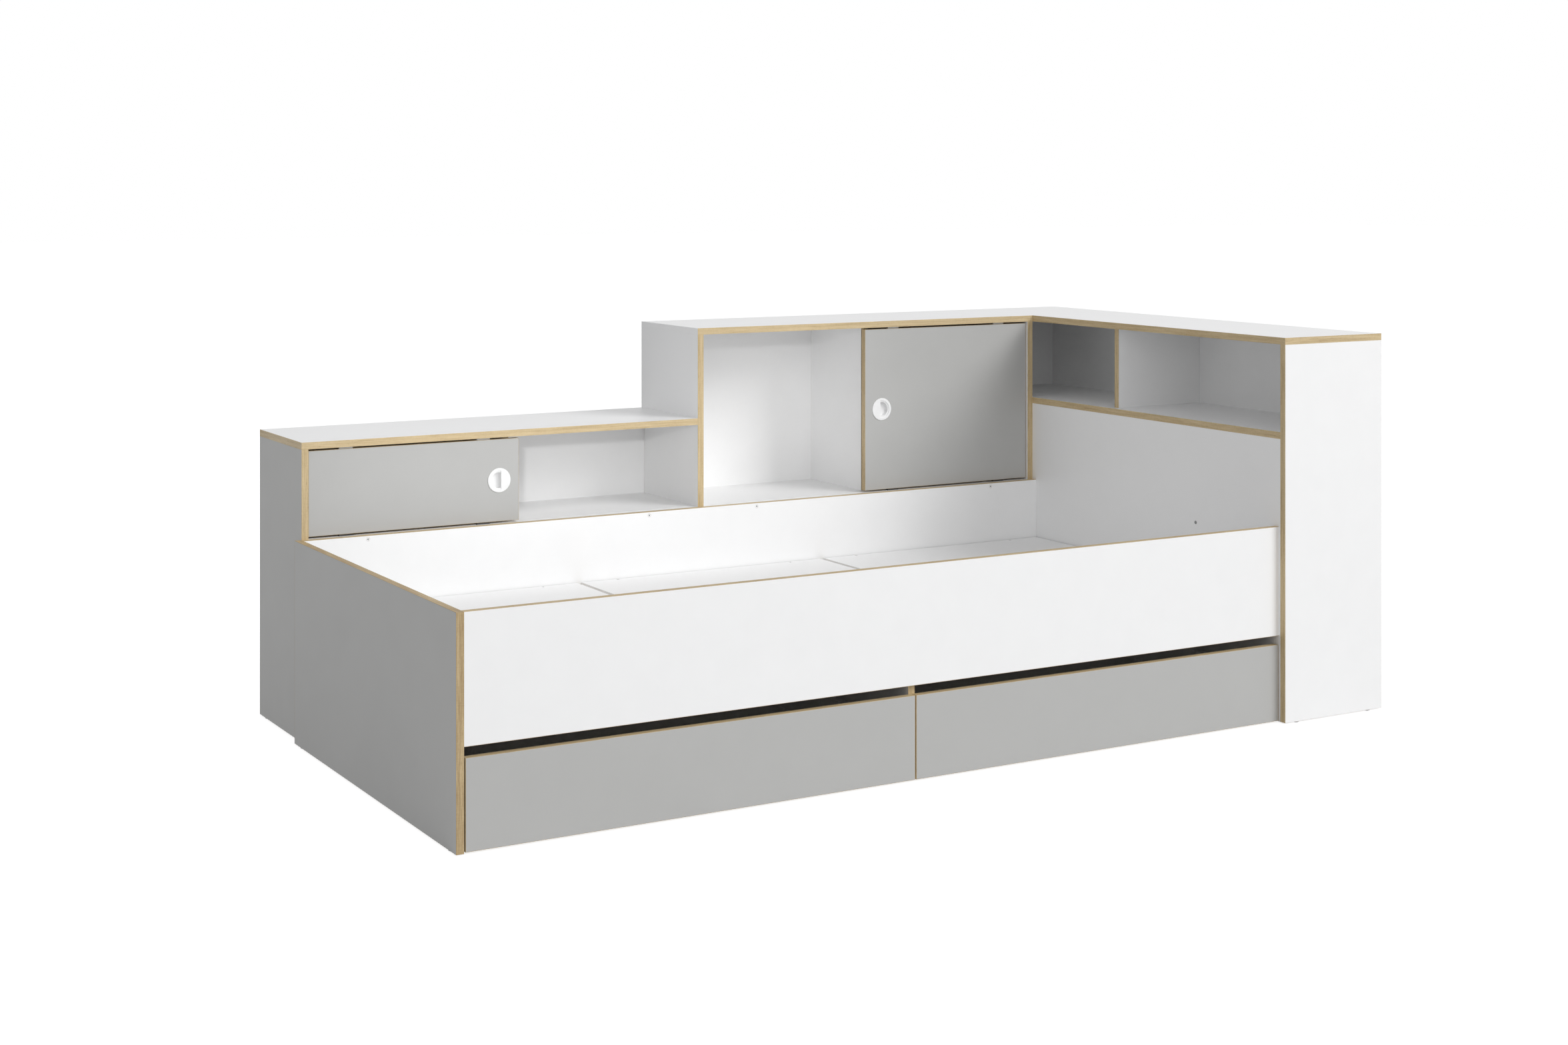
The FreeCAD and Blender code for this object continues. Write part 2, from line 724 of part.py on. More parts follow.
def make_fork():
    """Makes a castor housing: a folded channel with an axle pin through its two walls."""
    low = "wheel_radius - fork_drop"
    inner_top = "drawer_floor_lift - fork_wall"
    channel = padded("fork_channel", "XZ_Plane", (
        ("0", low),
        ("fork_wall", low),
        ("fork_wall", inner_top),
        ("fork_width - fork_wall", inner_top),
        ("fork_width - fork_wall", low),
        ("fork_width", low),
        ("fork_width", "drawer_floor_lift"),
        ("0", "drawer_floor_lift"),
    ), "fork_length")
    pin = rod("fork_pin", "axle_radius", "fork_width", ALONG_X, ("0", "0", "wheel_radius"))
    piece = fuse(channel, pin)
    doc.recompute()
    return piece


def make_drawer(side, bay, front_x, wheel, fork):
    """Makes a drawer: front, two sides, back, bottom and four castors."""
    low, high = f"{bay[0]} + drawer_side_play", f"{bay[1]} - drawer_side_play"
    inner = (f"{low} + board", f"{high} - board")
    y = ("well_front", "drawer_back")
    z = ("drawer_floor_lift", "drawer_side_top")
    board(f"{side}_drawer_front", (front_x, ("bed_front", "well_front"), ("drawer_lift", "drawer_top")),
          f"{side}_drawer_edging", ("top", "left", "right", "under"))
    board(f"{side}_drawer_side_left", ((low, inner[0]), y, z))
    board(f"{side}_drawer_side_right", ((inner[1], high), y, z))
    board(f"{side}_drawer_back", (inner, ("drawer_back - board", "drawer_back"), z))
    board(f"{side}_drawer_bottom", (inner, ("well_front", "drawer_back - board"),
                                    ("drawer_floor_lift", "drawer_floor_lift + drawer_bottom")))
    castor_x = (f"{inner[0]} + castor_inset", f"{inner[1]} - castor_inset")
    castor_y = {"front": "well_front + castor_setback", "rear": "drawer_back - castor_setback"}
    places = [(f"{x} - fork_width / 2", row, "0") for row in castor_y.values() for x in castor_x]
    copies(f"{side}_drawer_castors", fork, UPRIGHT, places)
    for name, row in castor_y.items():
        wheels = [(f"{x} - wheel_width / 2", row, "wheel_radius") for x in castor_x]
        copies(f"{side}_drawer_wheels_{name}", wheel, ALONG_X, wheels)


def make_drawers():
    """Makes the two drawers, one each side of the centre panel."""
    wheel = make_wheel()
    fork = make_fork()
    left_front = ("foot_in + drawer_gap", "middle - drawer_gap / 2")
    right_front = ("middle + drawer_gap / 2", "head_face - drawer_gap")
    make_drawer("left", ("foot_in", "tall_left"), left_front, wheel, fork)
    make_drawer("right", ("tall_right", "head_face"), right_front, wheel, fork)


def make_glides():
    """Makes the plastic glides nailed under every board that stands on the floor."""
    master = turned("glide", (
        ("0", "0"),
        ("glide_radius - glide_chamfer", "0"),
        ("glide_radius", "glide_chamfer"),
        ("glide_radius", "glide_height"),
        ("0", "glide_height"),
    ))
    half = "board / 2"
    rows = [
        (f"foot_out + {half}", ("bed_front + glide_inset", "bed_back - glide_inset")),
        ("middle", ("well_front + glide_inset", "well_back - glide_inset")),
    ]
    for x in (f"foot_in + {half}", "middle", f"high_right + {half}"):
        rows.append((x, ("bed_back + glide_inset", "unit_rear - glide_inset")))
    places = [(x, y, "0") for x, pair in rows for y in pair]
    for x in ("head_face + glide_inset", "head_rear - glide_inset"):
        for y in (f"unit_front + {half}", f"rear_in + {half}"):
            places.append((x, y, "0"))
    copies("floor_glides", master, UPRIGHT, places)


def check():
    """Stops if any object failed, or any piece is empty or not a sound shape."""
    doc.recompute()
    for item in doc.Objects:
        if "Invalid" in item.State or "Error" in item.State:
            raise RuntimeError(f"{item.Label} failed: {item.State}")
    for piece in nodes:
        if piece.Shape.isNull() or not piece.Shape.Solids or not piece.Shape.isValid():
            raise RuntimeError(f"{piece.Label} has no sound shape")


def export():
    """Writes each piece to a file of its own name."""
    os.makedirs("parts", exist_ok=True)
    for piece in nodes:
        piece.Shape.exportStep(f"parts/{piece.Label}.step")
        print(piece.Label, len(piece.Shape.Solids), round(piece.Shape.Volume))


rail_screw_holes = make_bed()
make_cabinets(rail_screw_holes)
make_bookcase()
make_doors()
make_drawers()
make_glides()
make_edgings()
check()
export()
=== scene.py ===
"""Looks of a youth bed with wall cabinets, a head bookcase, two sliding doors and two drawers."""

import logging
import math
from collections import defaultdict
from collections.abc import Iterable, Sequence
from dataclasses import dataclass, field
from enum import Enum
from functools import cache, cached_property

import bmesh
import bpy
from mathutils import Euler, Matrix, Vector


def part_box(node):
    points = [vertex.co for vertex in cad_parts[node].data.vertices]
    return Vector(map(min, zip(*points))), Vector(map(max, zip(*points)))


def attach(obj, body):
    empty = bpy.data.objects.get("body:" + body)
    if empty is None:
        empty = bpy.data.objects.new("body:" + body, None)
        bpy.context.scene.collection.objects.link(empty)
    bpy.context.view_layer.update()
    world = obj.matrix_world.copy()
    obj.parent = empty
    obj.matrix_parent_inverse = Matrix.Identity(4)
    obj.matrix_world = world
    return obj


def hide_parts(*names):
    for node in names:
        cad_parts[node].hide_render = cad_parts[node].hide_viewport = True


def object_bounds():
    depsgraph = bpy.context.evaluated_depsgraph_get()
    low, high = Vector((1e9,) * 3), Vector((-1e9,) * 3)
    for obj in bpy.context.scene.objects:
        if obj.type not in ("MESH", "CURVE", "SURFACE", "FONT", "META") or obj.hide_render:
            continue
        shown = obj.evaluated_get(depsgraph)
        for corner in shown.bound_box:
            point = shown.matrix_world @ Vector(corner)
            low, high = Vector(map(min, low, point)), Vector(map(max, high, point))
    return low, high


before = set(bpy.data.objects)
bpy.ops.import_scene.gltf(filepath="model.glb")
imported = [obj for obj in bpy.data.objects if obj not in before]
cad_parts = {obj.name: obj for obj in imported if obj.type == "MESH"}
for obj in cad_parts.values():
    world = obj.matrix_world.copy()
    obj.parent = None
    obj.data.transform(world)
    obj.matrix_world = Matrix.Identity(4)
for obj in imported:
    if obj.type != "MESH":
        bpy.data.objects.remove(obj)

CAD_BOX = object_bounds()
LOG = logging.getLogger("youth_bed")

MM = 0.001
SAME_CORNER = 0.01 * MM
FLAT_ANGLE = math.radians(0.5)
SHARP_ANGLE = math.radians(40)
SMOOTH_ANGLE = math.radians(15)
FLAT_AREA = (20 * MM) ** 2
FULL_TURN = math.tau
QUARTER_TURN = math.tau / 4
MIDDLE = tuple((CAD_BOX[0] + CAD_BOX[1]) / 2)
ROUND_PROFILE = 0.5
ALIGNED = 0.99
EASING_REACH = 1.5

BED = "bed"
GRAIN = "grain"
TONE = "tone"
RECESS_SHADE = "recess_shade"
OUTWARD = "outward"
FACING = "facing"

Colour = tuple[float, float, float]
Box = tuple[Vector, Vector]
Socket = bpy.types.NodeSocket


class Slot(Enum):
    """The record's material slots."""

    WHITE_BOARD = "white_board"
    GREY_BOARD = "grey_board"
    OAK_EDGE = "oak_edge"
    WHITE_BACK = "white_back"
    PINE = "pine"
    WHITE_PLASTIC = "white_plastic"
    GREY_PLASTIC = "grey_plastic"
    WHEEL_PLASTIC = "wheel_plastic"
    STEEL = "steel"


class Side(Enum):
    """The sides of a board, each as an axis and a direction along it."""

    LEFT = (0, -1)
    RIGHT = (0, 1)
    FRONT = (1, -1)
    BACK = (1, 1)
    UNDER = (2, -1)
    TOP = (2, 1)

    @property
    def axis(self) -> int:
        """Gives the number of the axis that the side faces along."""
        return self.value[0]

    @property
    def sign(self) -> int:
        """Gives 1 for the high end of the axis and -1 for the low end."""
        return self.value[1]

    @property
    def outward(self) -> Vector:
        """Gives the direction that the side faces."""
        return Vector(self.sign if axis == self.axis else 0 for axis in range(3))


class NodeTree:
    """A node tree that is filled by short calls, for shaders and for geometry."""

    SHADE_PLACES = (0.3, 0.7)

    def __init__(self, tree: bpy.types.NodeTree) -> None:
        """Keeps the tree that is filled."""
        self.tree = tree

    def add(self, kind: str, inputs: dict | None = None, **settings: object) -> bpy.types.Node:
        """Adds a node and fills its inputs.

        Args:
            kind: The node's type.
            inputs: Values, or sockets to link from, by the input's name or place.
            settings: Properties of the node itself.

        Returns:
            The new node.
        """
        node = self.tree.nodes.new(kind)
        for name, setting in settings.items():
            setattr(node, name, setting)
        for key, value in (inputs or {}).items():
            if isinstance(value, Socket):
                self.tree.links.new(value, node.inputs[key])
            else:
                node.inputs[key].default_value = value
        return node

    def place(self) -> Socket:
        """Gives the place on the piece, in its own coordinates."""
        return self.add("ShaderNodeTexCoord").outputs["Object"]

    def attribute(self, name: str, output: str) -> Socket:
        """Reads an attribute of the piece."""
        return self.add("ShaderNodeAttribute", attribute_name=name).outputs[output]

    def scaled(self, vector: Socket, scale: Sequence[float]) -> Socket:
        """Multiplies a vector by a scale for each axis."""
        return self.add("ShaderNodeVectorMath", {0: vector, 1: scale}, operation="MULTIPLY").outputs[0]

    def noise(self, vector: Socket, scale: float, detail: float) -> Socket:
        """Gives soft noise from 0 to 1 with so many lumps in a metre."""
        return self.add("ShaderNodeTexNoise", {"Vector": vector, "Scale": scale, "Detail": detail}).outputs[0]

    def cells(self, vector: Socket, size: float, output: str) -> Socket:
        """Gives cells of a size, by the distance from their middle or by a colour of their own."""
        return self.add("ShaderNodeTexVoronoi", {"Vector": vector, "Scale": 1 / size}).outputs[output]

    def cell_tone(self, vector: Socket, size: float) -> Socket:
        """Gives each cell of a size a number of its own from 0 to 1."""
        return self.add("ShaderNodeSeparateColor", {0: self.cells(vector, size, "Color")}).outputs[0]

    def math(self, operation: str, first: Socket | float, second: Socket | float) -> Socket:
        """Works out a sum of two numbers."""
        return self.add("ShaderNodeMath", {0: first, 1: second}, operation=operation).outputs[0]

    def mix(self, first: Socket, second: Socket, share: float) -> Socket:
        """Mixes two numbers, with such a share of the first."""
        return self.math("ADD", self.math("MULTIPLY", first, share), self.math("MULTIPLY", second, 1 - share))

    def span(self, factor: Socket, low: float, high: float, start: float = 0.0, end: float = 1.0) -> Socket:
        """Stretches a factor that runs from start to end over another span."""
        return self.add("ShaderNodeMapRange", {0: factor, 1: start, 2: end, 3: low, 4: high}).outputs[0]

    def ramp(self, factor: Socket, places: Sequence[float], colours: Sequence[Colour]) -> Socket:
        """Colours a factor.

        Args:
            factor: A number from 0 to 1.
            places: The colours' places on the ramp.
            colours: The colours.

        Returns:
            The colour's socket.
        """
        node = self.add("ShaderNodeValToRGB", {0: factor})
        elements = node.color_ramp.elements
        while len(elements) < len(places):
            elements.new(1.0)
        for element, place, colour in zip(elements, places, colours):
            element.position = place
            element.color = (*colour, 1.0)
        return node.outputs[0]

    def shades(self, factor: Socket, colour: Colour, share: float) -> Socket:
        """Colours a factor from darker to lighter than a colour by a share of it."""
        return self.ramp(factor, self.SHADE_PLACES, (shade(colour, 1 - share), shade(colour, 1 + share)))

    def bump(self, height: Socket, strength: float, depth: float) -> Socket:
        """Turns a height from 0 to 1 into a normal."""
        inputs = {"Strength": strength, "Distance": depth, "Height": height}
        return self.add("ShaderNodeBump", inputs).outputs[0]


class Surface(NodeTree):
    """A material's tree, with the inputs of its shader."""

    def __init__(self, tree: bpy.types.NodeTree) -> None:
        """Keeps the tree and finds its shader."""
        super().__init__(tree)
        self.inputs = tree.nodes["Principled BSDF"].inputs

    def connect(self, **sockets: Socket) -> None:
        """Links sockets to the shader's inputs, with an underscore for a space in a name."""
        for name, socket in sockets.items():
            self.tree.links.new(socket, self.inputs[name.replace("_", " ")])


def shade(colour: Colour, share: float) -> Colour:
    """Makes a colour lighter or darker by a share of itself."""
    return tuple(part * share for part in colour)


@dataclass(frozen=True)
class Finish:
    """A surface finish, which makes one material.

    Attributes:
        name: The material's name.
        slot: The record's slot that the finish belongs to.
        colour: The middle colour.
        roughness: The middle roughness.
    """

    name: str
    slot: Slot
    colour: Colour
    roughness: float

    def material(self) -> bpy.types.Material:
        """Gives the finish's material, made when it is first asked for.

        Returns:
            The material.
        """
        made = bpy.data.materials.get(self.name)
        if made is None:
            made = bpy.data.materials.new(self.name)
            made.use_nodes = True
            made.diffuse_color = (*self.colour, 1.0)
            tree = Surface(made.node_tree)
            tree.inputs["Roughness"].default_value = self.roughness
            self.dress(tree)
        return made

    def dress(self, tree: Surface) -> None:
        """Adds the finish's nodes.

        Args:
            tree: The material's tree.
        """
        raise NotImplementedError


@dataclass(frozen=True)
class Lumps:
    """Soft lumps of one size, such as pores or clouds.

    Attributes:
        size: The size of a lump.
        detail: How many finer layers it has.
    """

    size: float
    detail: float

    def noise(self, tree: NodeTree, place: Socket) -> Socket:
        """Gives the lumps as a number from 0 to 1, from the place on the piece."""
        return tree.noise(place, 1 / self.size, self.detail)


@dataclass(frozen=True)
class Melamine(Finish):
    """Board faced with printed paper under a matt pressed resin with fine pores.

    Attributes:
        pore: The pores in the pressed face.
        pore_depth: The depth of a pore.
        pore_strength: How strongly the pores shade the face.
        cloud: The faint clouds in the print.
        cloud_share: How much lighter or darker a cloud is.
        cloud_weight: The share of the clouds, beside the pores, in the colour.
        gloss_share: How much the roughness varies.
    """

    pore: Lumps = Lumps(0.9 * MM, 1.0)
    pore_depth: float = 0.03 * MM
    pore_strength: float = 0.35
    cloud: Lumps = Lumps(60 * MM, 4.0)
    cloud_share: float = 0.012
    cloud_weight: float = 0.6
    gloss_share: float = 0.12

    def dress(self, tree: Surface) -> None:
        """Adds the pores, the clouds and the uneven gloss.

        Args:
            tree: The material's tree.
        """
        place = tree.place()
        cloud, pores = self.cloud.noise(tree, place), self.pore.noise(tree, place)
        low, high = (self.roughness * (1 + sign * self.gloss_share) for sign in (-1, 1))
        tree.connect(
            Base_Color=tree.shades(tree.mix(cloud, pores, self.cloud_weight), self.colour, self.cloud_share),
            Roughness=tree.span(cloud, low, high),
            Normal=tree.bump(pores, self.pore_strength, self.pore_depth),
        )


@dataclass(frozen=True)
class Streak:
    """A kind of streak that is drawn out along the grain of wood.

    Attributes:
        length: Its length along the grain.
        width: Its width across the grain.
        detail: How many finer layers it has.
    """

    length: float
    width: float
    detail: float

    def noise(self, tree: NodeTree, place: Socket) -> Socket:
        """Gives the streaks as a number from 0 to 1, from the place along, across and into the wood."""
        scale = (1 / self.length, 1 / self.width, 1 / self.width)
        return tree.noise(tree.scaled(place, scale), 1.0, self.detail)


@dataclass(frozen=True)
class Oak(Finish):
    """Printed wood grain that follows the piece's own grain attribute.

    Attributes:
        dark: The colour of the late wood and the pores.
        light: The colour of the palest streaks.
        tone_places: The places of the dark, the middle and the light colour among the tones.
        fibre: The fine streaks.
        figure: The broad streaks.
        pore: The open pores.
        saw: The faint saw marks across the grain.
        fibre_weight: The share of the fine streaks beside the broad ones.
        saw_share: How much lighter or darker a saw mark is.
        pore_span: Where the pores' noise turns from a pore to plain wood.
        pore_share: How much darker a pore is.
        gloss_span: How much the roughness grows in the dark and in the light wood.
        relief: The depth of the grain.
        relief_strength: How strongly the grain shades the face.
    """

    dark: Colour = (0.36, 0.25, 0.125)
    light: Colour = (0.70, 0.56, 0.34)
    tone_places: tuple[float, float, float] = (0.22, 0.46, 0.70)
    fibre: Streak = Streak(45 * MM, 1.1 * MM, 3.0)
    figure: Streak = Streak(160 * MM, 6.5 * MM, 2.0)
    pore: Streak = Streak(9 * MM, 0.45 * MM, 1.0)
    saw: Streak = Streak(2.4 * MM, 20 * MM, 1.0)
    fibre_weight: float = 0.5
    saw_share: float = 0.05
    pore_span: tuple[float, float] = (0.30, 0.42)
    pore_share: float = 0.16
    gloss_span: tuple[float, float] = (0.12, -0.08)
    relief: float = 0.06 * MM
    relief_strength: float = 0.4

    def dress(self, tree: Surface) -> None:
        """Adds fibres, figure, pores and saw marks, in the tone of the piece's own attribute.

        Args:
            tree: The material's tree.
        """
        place = tree.attribute(GRAIN, "Vector")
        fibre, figure, pore, saw = (
            streak.noise(tree, place) for streak in (self.fibre, self.figure, self.pore, self.saw)
        )
        tone = tree.attribute(TONE, "Fac")
        for part in (
            tree.mix(fibre, figure, self.fibre_weight),
            tree.span(saw, -self.saw_share, self.saw_share),
            tree.span(pore, -self.pore_share, 0.0, *self.pore_span),
        ):
            tone = tree.math("ADD", tone, part)
        gloss = (self.roughness + change for change in self.gloss_span)
        tree.connect(
            Base_Color=tree.ramp(tone, self.tone_places, (self.dark, self.colour, self.light)),
            Roughness=tree.span(tone, *gloss),
            Normal=tree.bump(tone, self.relief_strength, self.relief),
        )


@dataclass(frozen=True)
class Hardboard(Finish):
    """The bare, fibrous rear face of a hardboard panel, with its screen print.

    Attributes:
        fibre: The fibre bundles.
        stain: The stains.
        fibre_weight: The share of the bundles, beside the stains, in the colour.
        fleck_share: How much lighter or darker a bundle is.
        screen: The pitch of the wire screen pressed into the face.
        print_depth: The depth of its print.
        print_strength: How strongly the print shades the face.
    """

    fibre: Lumps = Lumps(2.2 * MM, 5.0)
    stain: Lumps = Lumps(90 * MM, 3.0)
    fibre_weight: float = 0.7
    fleck_share: float = 0.22
    screen: float = 1.6 * MM
    print_depth: float = 0.12 * MM
    print_strength: float = 0.5

    def dress(self, tree: Surface) -> None:
        """Adds the fibre flecks and the screen's print.

        Args:
            tree: The material's tree.
        """
        place = tree.place()
        tone = tree.mix(self.fibre.noise(tree, place), self.stain.noise(tree, place), self.fibre_weight)
        wires = tree.cells(place, self.screen, "Distance")
        tree.connect(
            Base_Color=tree.shades(tone, self.colour, self.fleck_share),
            Normal=tree.bump(wires, self.print_strength, self.print_depth),
        )


@dataclass(frozen=True)
class Chipboard(Finish):
    """The sawn core of a chipboard panel.

    Attributes:
        chip: The size of a chip.
        chip_weight: The share of the chips, beside the fine dust, in the tone.
        dust: The fine dust between the chips.
        dark: The colour of the darkest chips.
        light: The colour of the palest chips.
        tone_places: The places of the dark, the middle and the light colour among the tones.
        relief: The depth of the torn chips.
        relief_strength: How strongly they shade the face.
    """

    chip: float = 2.6 * MM
    chip_weight: float = 0.65
    dust: Lumps = Lumps(0.87 * MM, 3.0)
    dark: Colour = (0.24, 0.16, 0.09)
    light: Colour = (0.62, 0.47, 0.29)
    tone_places: tuple[float, float, float] = (0.12, 0.5, 0.85)
    relief: float = 0.25 * MM
    relief_strength: float = 0.6

    def dress(self, tree: Surface) -> None:
        """Adds chips of several tones with dust between them.

        Args:
            tree: The material's tree.
        """
        place = tree.place()
        chips = tree.cell_tone(place, self.chip)
        tone = tree.mix(chips, self.dust.noise(tree, place), self.chip_weight)
        tree.connect(
            Base_Color=tree.ramp(tone, self.tone_places, (self.dark, self.colour, self.light)),
            Normal=tree.bump(tone, self.relief_strength, self.relief),
        )


@dataclass(frozen=True)
class Plastic(Finish):
    """Moulded plastic with a fine spark-eroded skin.

    Attributes:
        skin: The grain of the skin.
        skin_depth: The depth of the skin.
        skin_strength: How strongly the skin shades the face.
        flow: The flow marks.
        flow_share: How much lighter or darker a flow mark is.
        gloss_change: How much rougher or smoother it is.
    """

    skin: Lumps = Lumps(0.35 * MM, 2.0)
    skin_depth: float = 0.015 * MM
    skin_strength: float = 0.3
    flow: Lumps = Lumps(14 * MM, 2.0)
    flow_share: float = 0.015
    gloss_change: float = 0.05

    def dress(self, tree: Surface) -> None:
        """Adds the skin, with faint flow marks in the colour and the gloss.

        Args:
            tree: The material's tree.
        """
        place = tree.place()
        skin, flow = self.skin.noise(tree, place), self.flow.noise(tree, place)
        gloss = (self.roughness + sign * self.gloss_change for sign in (-1, 1))
        tree.connect(
            Base_Color=tree.shades(flow, self.colour, self.flow_share),
            Roughness=tree.span(flow, *gloss),
            Normal=tree.bump(skin, self.skin_strength, self.skin_depth),
        )


@dataclass(frozen=True)
class PowderCoat(Plastic):
    """Painted steel with the soft orange peel of baked powder, with painted shade dark in the screws'
    recesses.

    Attributes:
        bare: The dark colour painted into the screws' recesses as their shade.
    """

    skin: Lumps = Lumps(0.8 * MM, 2.0)
    skin_depth: float = 0.01 * MM
    # The dark colour that paints the shade in the screws' recesses.
    bare: Colour = (0.12, 0.12, 0.12)

    def dress(self, tree: Surface) -> None:
        """Paints the shade of the screws' recesses dark over the painted skin.

        Args:
            tree: The material's tree.
        """
        super().dress(tree)
        painted = tree.inputs["Base Color"].links[0].from_socket
        # The node's sockets for colours come after those for numbers and vectors.
        # The recess's faces get the dark colour as painted shade.
        inputs = {0: tree.attribute(RECESS_SHADE, "Fac"), 6: painted, 7: (*self.bare, 1.0)}
        colour = tree.add("ShaderNodeMix", inputs, data_type="RGBA").outputs[2]
        tree.connect(Base_Color=colour)


@dataclass(frozen=True)
class ZincSteel(Finish):
    """Zinc-plated steel with a soft spangle.

    Attributes:
        spangle: The size of a crystal in the plating.
        shine_shares: The darkest and the lightest crystal, as shares of the colour.
        gloss_span: How much the roughness grows in the dark and in the light crystals.
    """

    spangle: float = 3.5 * MM
    shine_shares: tuple[float, float] = (0.9, 1.08)
    gloss_span: tuple[float, float] = (-0.06, 0.1)

    def dress(self, tree: Surface) -> None:
        """Adds the spangle to the colour and the gloss.

        Args:
            tree: The material's tree.
        """
        tone = tree.cell_tone(tree.place(), self.spangle)
        colours = [shade(self.colour, share) for share in self.shine_shares]
        gloss = (self.roughness + change for change in self.gloss_span)
        tree.connect(Base_Color=tree.ramp(tone, (0.0, 1.0), colours), Roughness=tree.span(tone, *gloss))
        tree.inputs["Metallic"].default_value = 1.0


WHITE = Melamine("white_melamine", Slot.WHITE_BOARD, (0.93, 0.93, 0.93), 0.42)
GREY = Melamine("grey_melamine", Slot.GREY_BOARD, (0.475, 0.475, 0.465), 0.45)
LACQUER = Melamine("white_lacquer", Slot.WHITE_BACK, (0.92, 0.92, 0.92), 0.36, pore=Lumps(1.4 * MM, 1.0))
OAK_BAND = Oak("oak_edge_band", Slot.OAK_EDGE, (0.56, 0.43, 0.24), 0.48)
PINE = Oak(
    "planed_pine", Slot.PINE, (0.66, 0.50, 0.28), 0.55, dark=(0.50, 0.32, 0.14), light=(0.78, 0.62, 0.38),
    fibre=Streak(120 * MM, 1.6 * MM, 3.0), figure=Streak(400 * MM, 9 * MM, 2.0),
    pore=Streak(20 * MM, 0.6 * MM, 1.0),
)
BARE_HARDBOARD = Hardboard("bare_hardboard", Slot.WHITE_BACK, (0.34, 0.22, 0.12), 0.75)
CORE = Chipboard("chipboard_core", Slot.WHITE_BOARD, (0.45, 0.32, 0.185), 0.85)
WHITE_PLASTIC = Plastic("white_satin_plastic", Slot.WHITE_PLASTIC, (0.885, 0.885, 0.885), 0.32)
GREY_PLASTIC = Plastic("light_grey_plastic", Slot.GREY_PLASTIC, (0.55, 0.55, 0.55), 0.45)
# The cap's mid grey is partly its own colour and partly painted shade of the hole under it.
CAP_PLASTIC = Plastic("mid_grey_plastic", Slot.GREY_PLASTIC, (0.27, 0.27, 0.27), 0.45)
WHEEL_PLASTIC = Plastic(
    "dark_wheel_plastic", Slot.WHEEL_PLASTIC, (0.035, 0.035, 0.037), 0.5, skin=Lumps(0.6 * MM, 2.0),
)
STEEL = ZincSteel("zinc_plated_steel", Slot.STEEL, (0.60, 0.61, 0.62), 0.34)
WHITE_PAINT = PowderCoat("white_painted_steel", Slot.STEEL, (0.90, 0.90, 0.90), 0.40)


@dataclass(frozen=True)
class Solid:
    """One closed solid of a CAD node.

    Attributes:
        corners: Its corners.
        faces: Its triangles, by the numbers of their corners.
    """

    corners: list[Vector]
    faces: list[tuple[int, ...]]

    @property
    def box(self) -> Box:
        """Gives the lowest and highest corner of the solid's box."""
        spans = list(zip(*self.corners))
        return Vector(map(min, spans)), Vector(map(max, spans))


def merged_faces(mesh: bpy.types.Mesh) -> tuple[list[Vector], list[tuple[int, ...]]]:
    """Joins the corners of a CAD mesh's loose triangles.

    Args:
        mesh: The mesh.

    Returns:
        The corners, and the triangles by the numbers of their corners.
    """
    numbers: dict[tuple[int, ...], int] = {}
    corners: list[Vector] = []
    faces: list[tuple[int, ...]] = []
    for polygon in mesh.polygons:
        face = []
        for index in polygon.vertices:
            place = mesh.vertices[index].co
            key = tuple(round(part / SAME_CORNER) for part in place)
            if key not in numbers:
                numbers[key] = len(corners)
                corners.append(place.copy())
            face.append(numbers[key])
        if len(set(face)) == len(face):
            faces.append(tuple(face))
    return corners, faces


def joined_groups(faces: Sequence[tuple[int, ...]]) -> list[list[int]]:
    """Sorts triangles into groups that hang together.

    Two triangles belong together where they alone share an edge, so solids that only touch stay apart.

    Args:
        faces: The triangles, by the numbers of their corners.

    Returns:
        The numbers of each group's triangles.
    """
    beside = defaultdict(list)
    for number, face in enumerate(faces):
        for pair in zip(face, face[1:] + face[:1]):
            beside[frozenset(pair)].append(number)
    joined = defaultdict(list)
    for pair in beside.values():
        if len(pair) == 2:
            joined[pair[0]].append(pair[1])
            joined[pair[1]].append(pair[0])
    groups = []
    left = dict.fromkeys(range(len(faces)))
    while left:
        group, wave = [], [next(iter(left))]
        left.pop(wave[0])
        while wave:
            number = wave.pop()
            group.append(number)
            fresh = [other for other in joined[number] if other in left]
            for other in fresh:
                left.pop(other, None)
            wave += dict.fromkeys(fresh)
        groups.append(sorted(group))
    return groups


def read_solids(node: str) -> list[Solid]:
    """Sorts a CAD node's loose triangles into its separate solids.

    Args:
        node: The CAD node's name.

    Returns:
        The solids.
    """
    corners, faces = merged_faces(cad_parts[node].data)
    solids = []
    for group in joined_groups(faces):
        used = sorted({corner for number in group for corner in faces[number]})
        fresh = {corner: place for place, corner in enumerate(used)}
        solids.append(Solid(
            [corners[corner] for corner in used],
            [tuple(fresh[corner] for corner in faces[number]) for number in group],
        ))
    return solids


def eased_mesh(solid: Solid, easing: float, segments: int) -> bmesh.types.BMesh:
    """Makes a mesh of a solid with flat faces joined and sharp edges eased.

    Args:
        solid: The solid.
        easing: How far an edge is eased.
        segments: The steps across an eased edge.

    Returns:
        The mesh.
    """
    work = bmesh.new()
    corners = [work.verts.new(corner) for corner in solid.corners]
    for face in solid.faces:
        work.faces.new([corners[number] for number in face])
    bmesh.ops.remove_doubles(work, verts=work.verts, dist=SAME_CORNER)
    bmesh.ops.dissolve_limit(work, angle_limit=FLAT_ANGLE, verts=work.verts, edges=work.edges)
    inner = [edge for edge in work.edges if len(edge.link_faces) == 2]
    sharp = [edge for edge in inner if edge.calc_face_angle() > SHARP_ANGLE]
    bmesh.ops.bevel(
        work, geom=sharp, offset=easing, offset_type="OFFSET", segments=segments, profile=ROUND_PROFILE,
        affect="EDGES", clamp_overlap=True,
    )
    return work


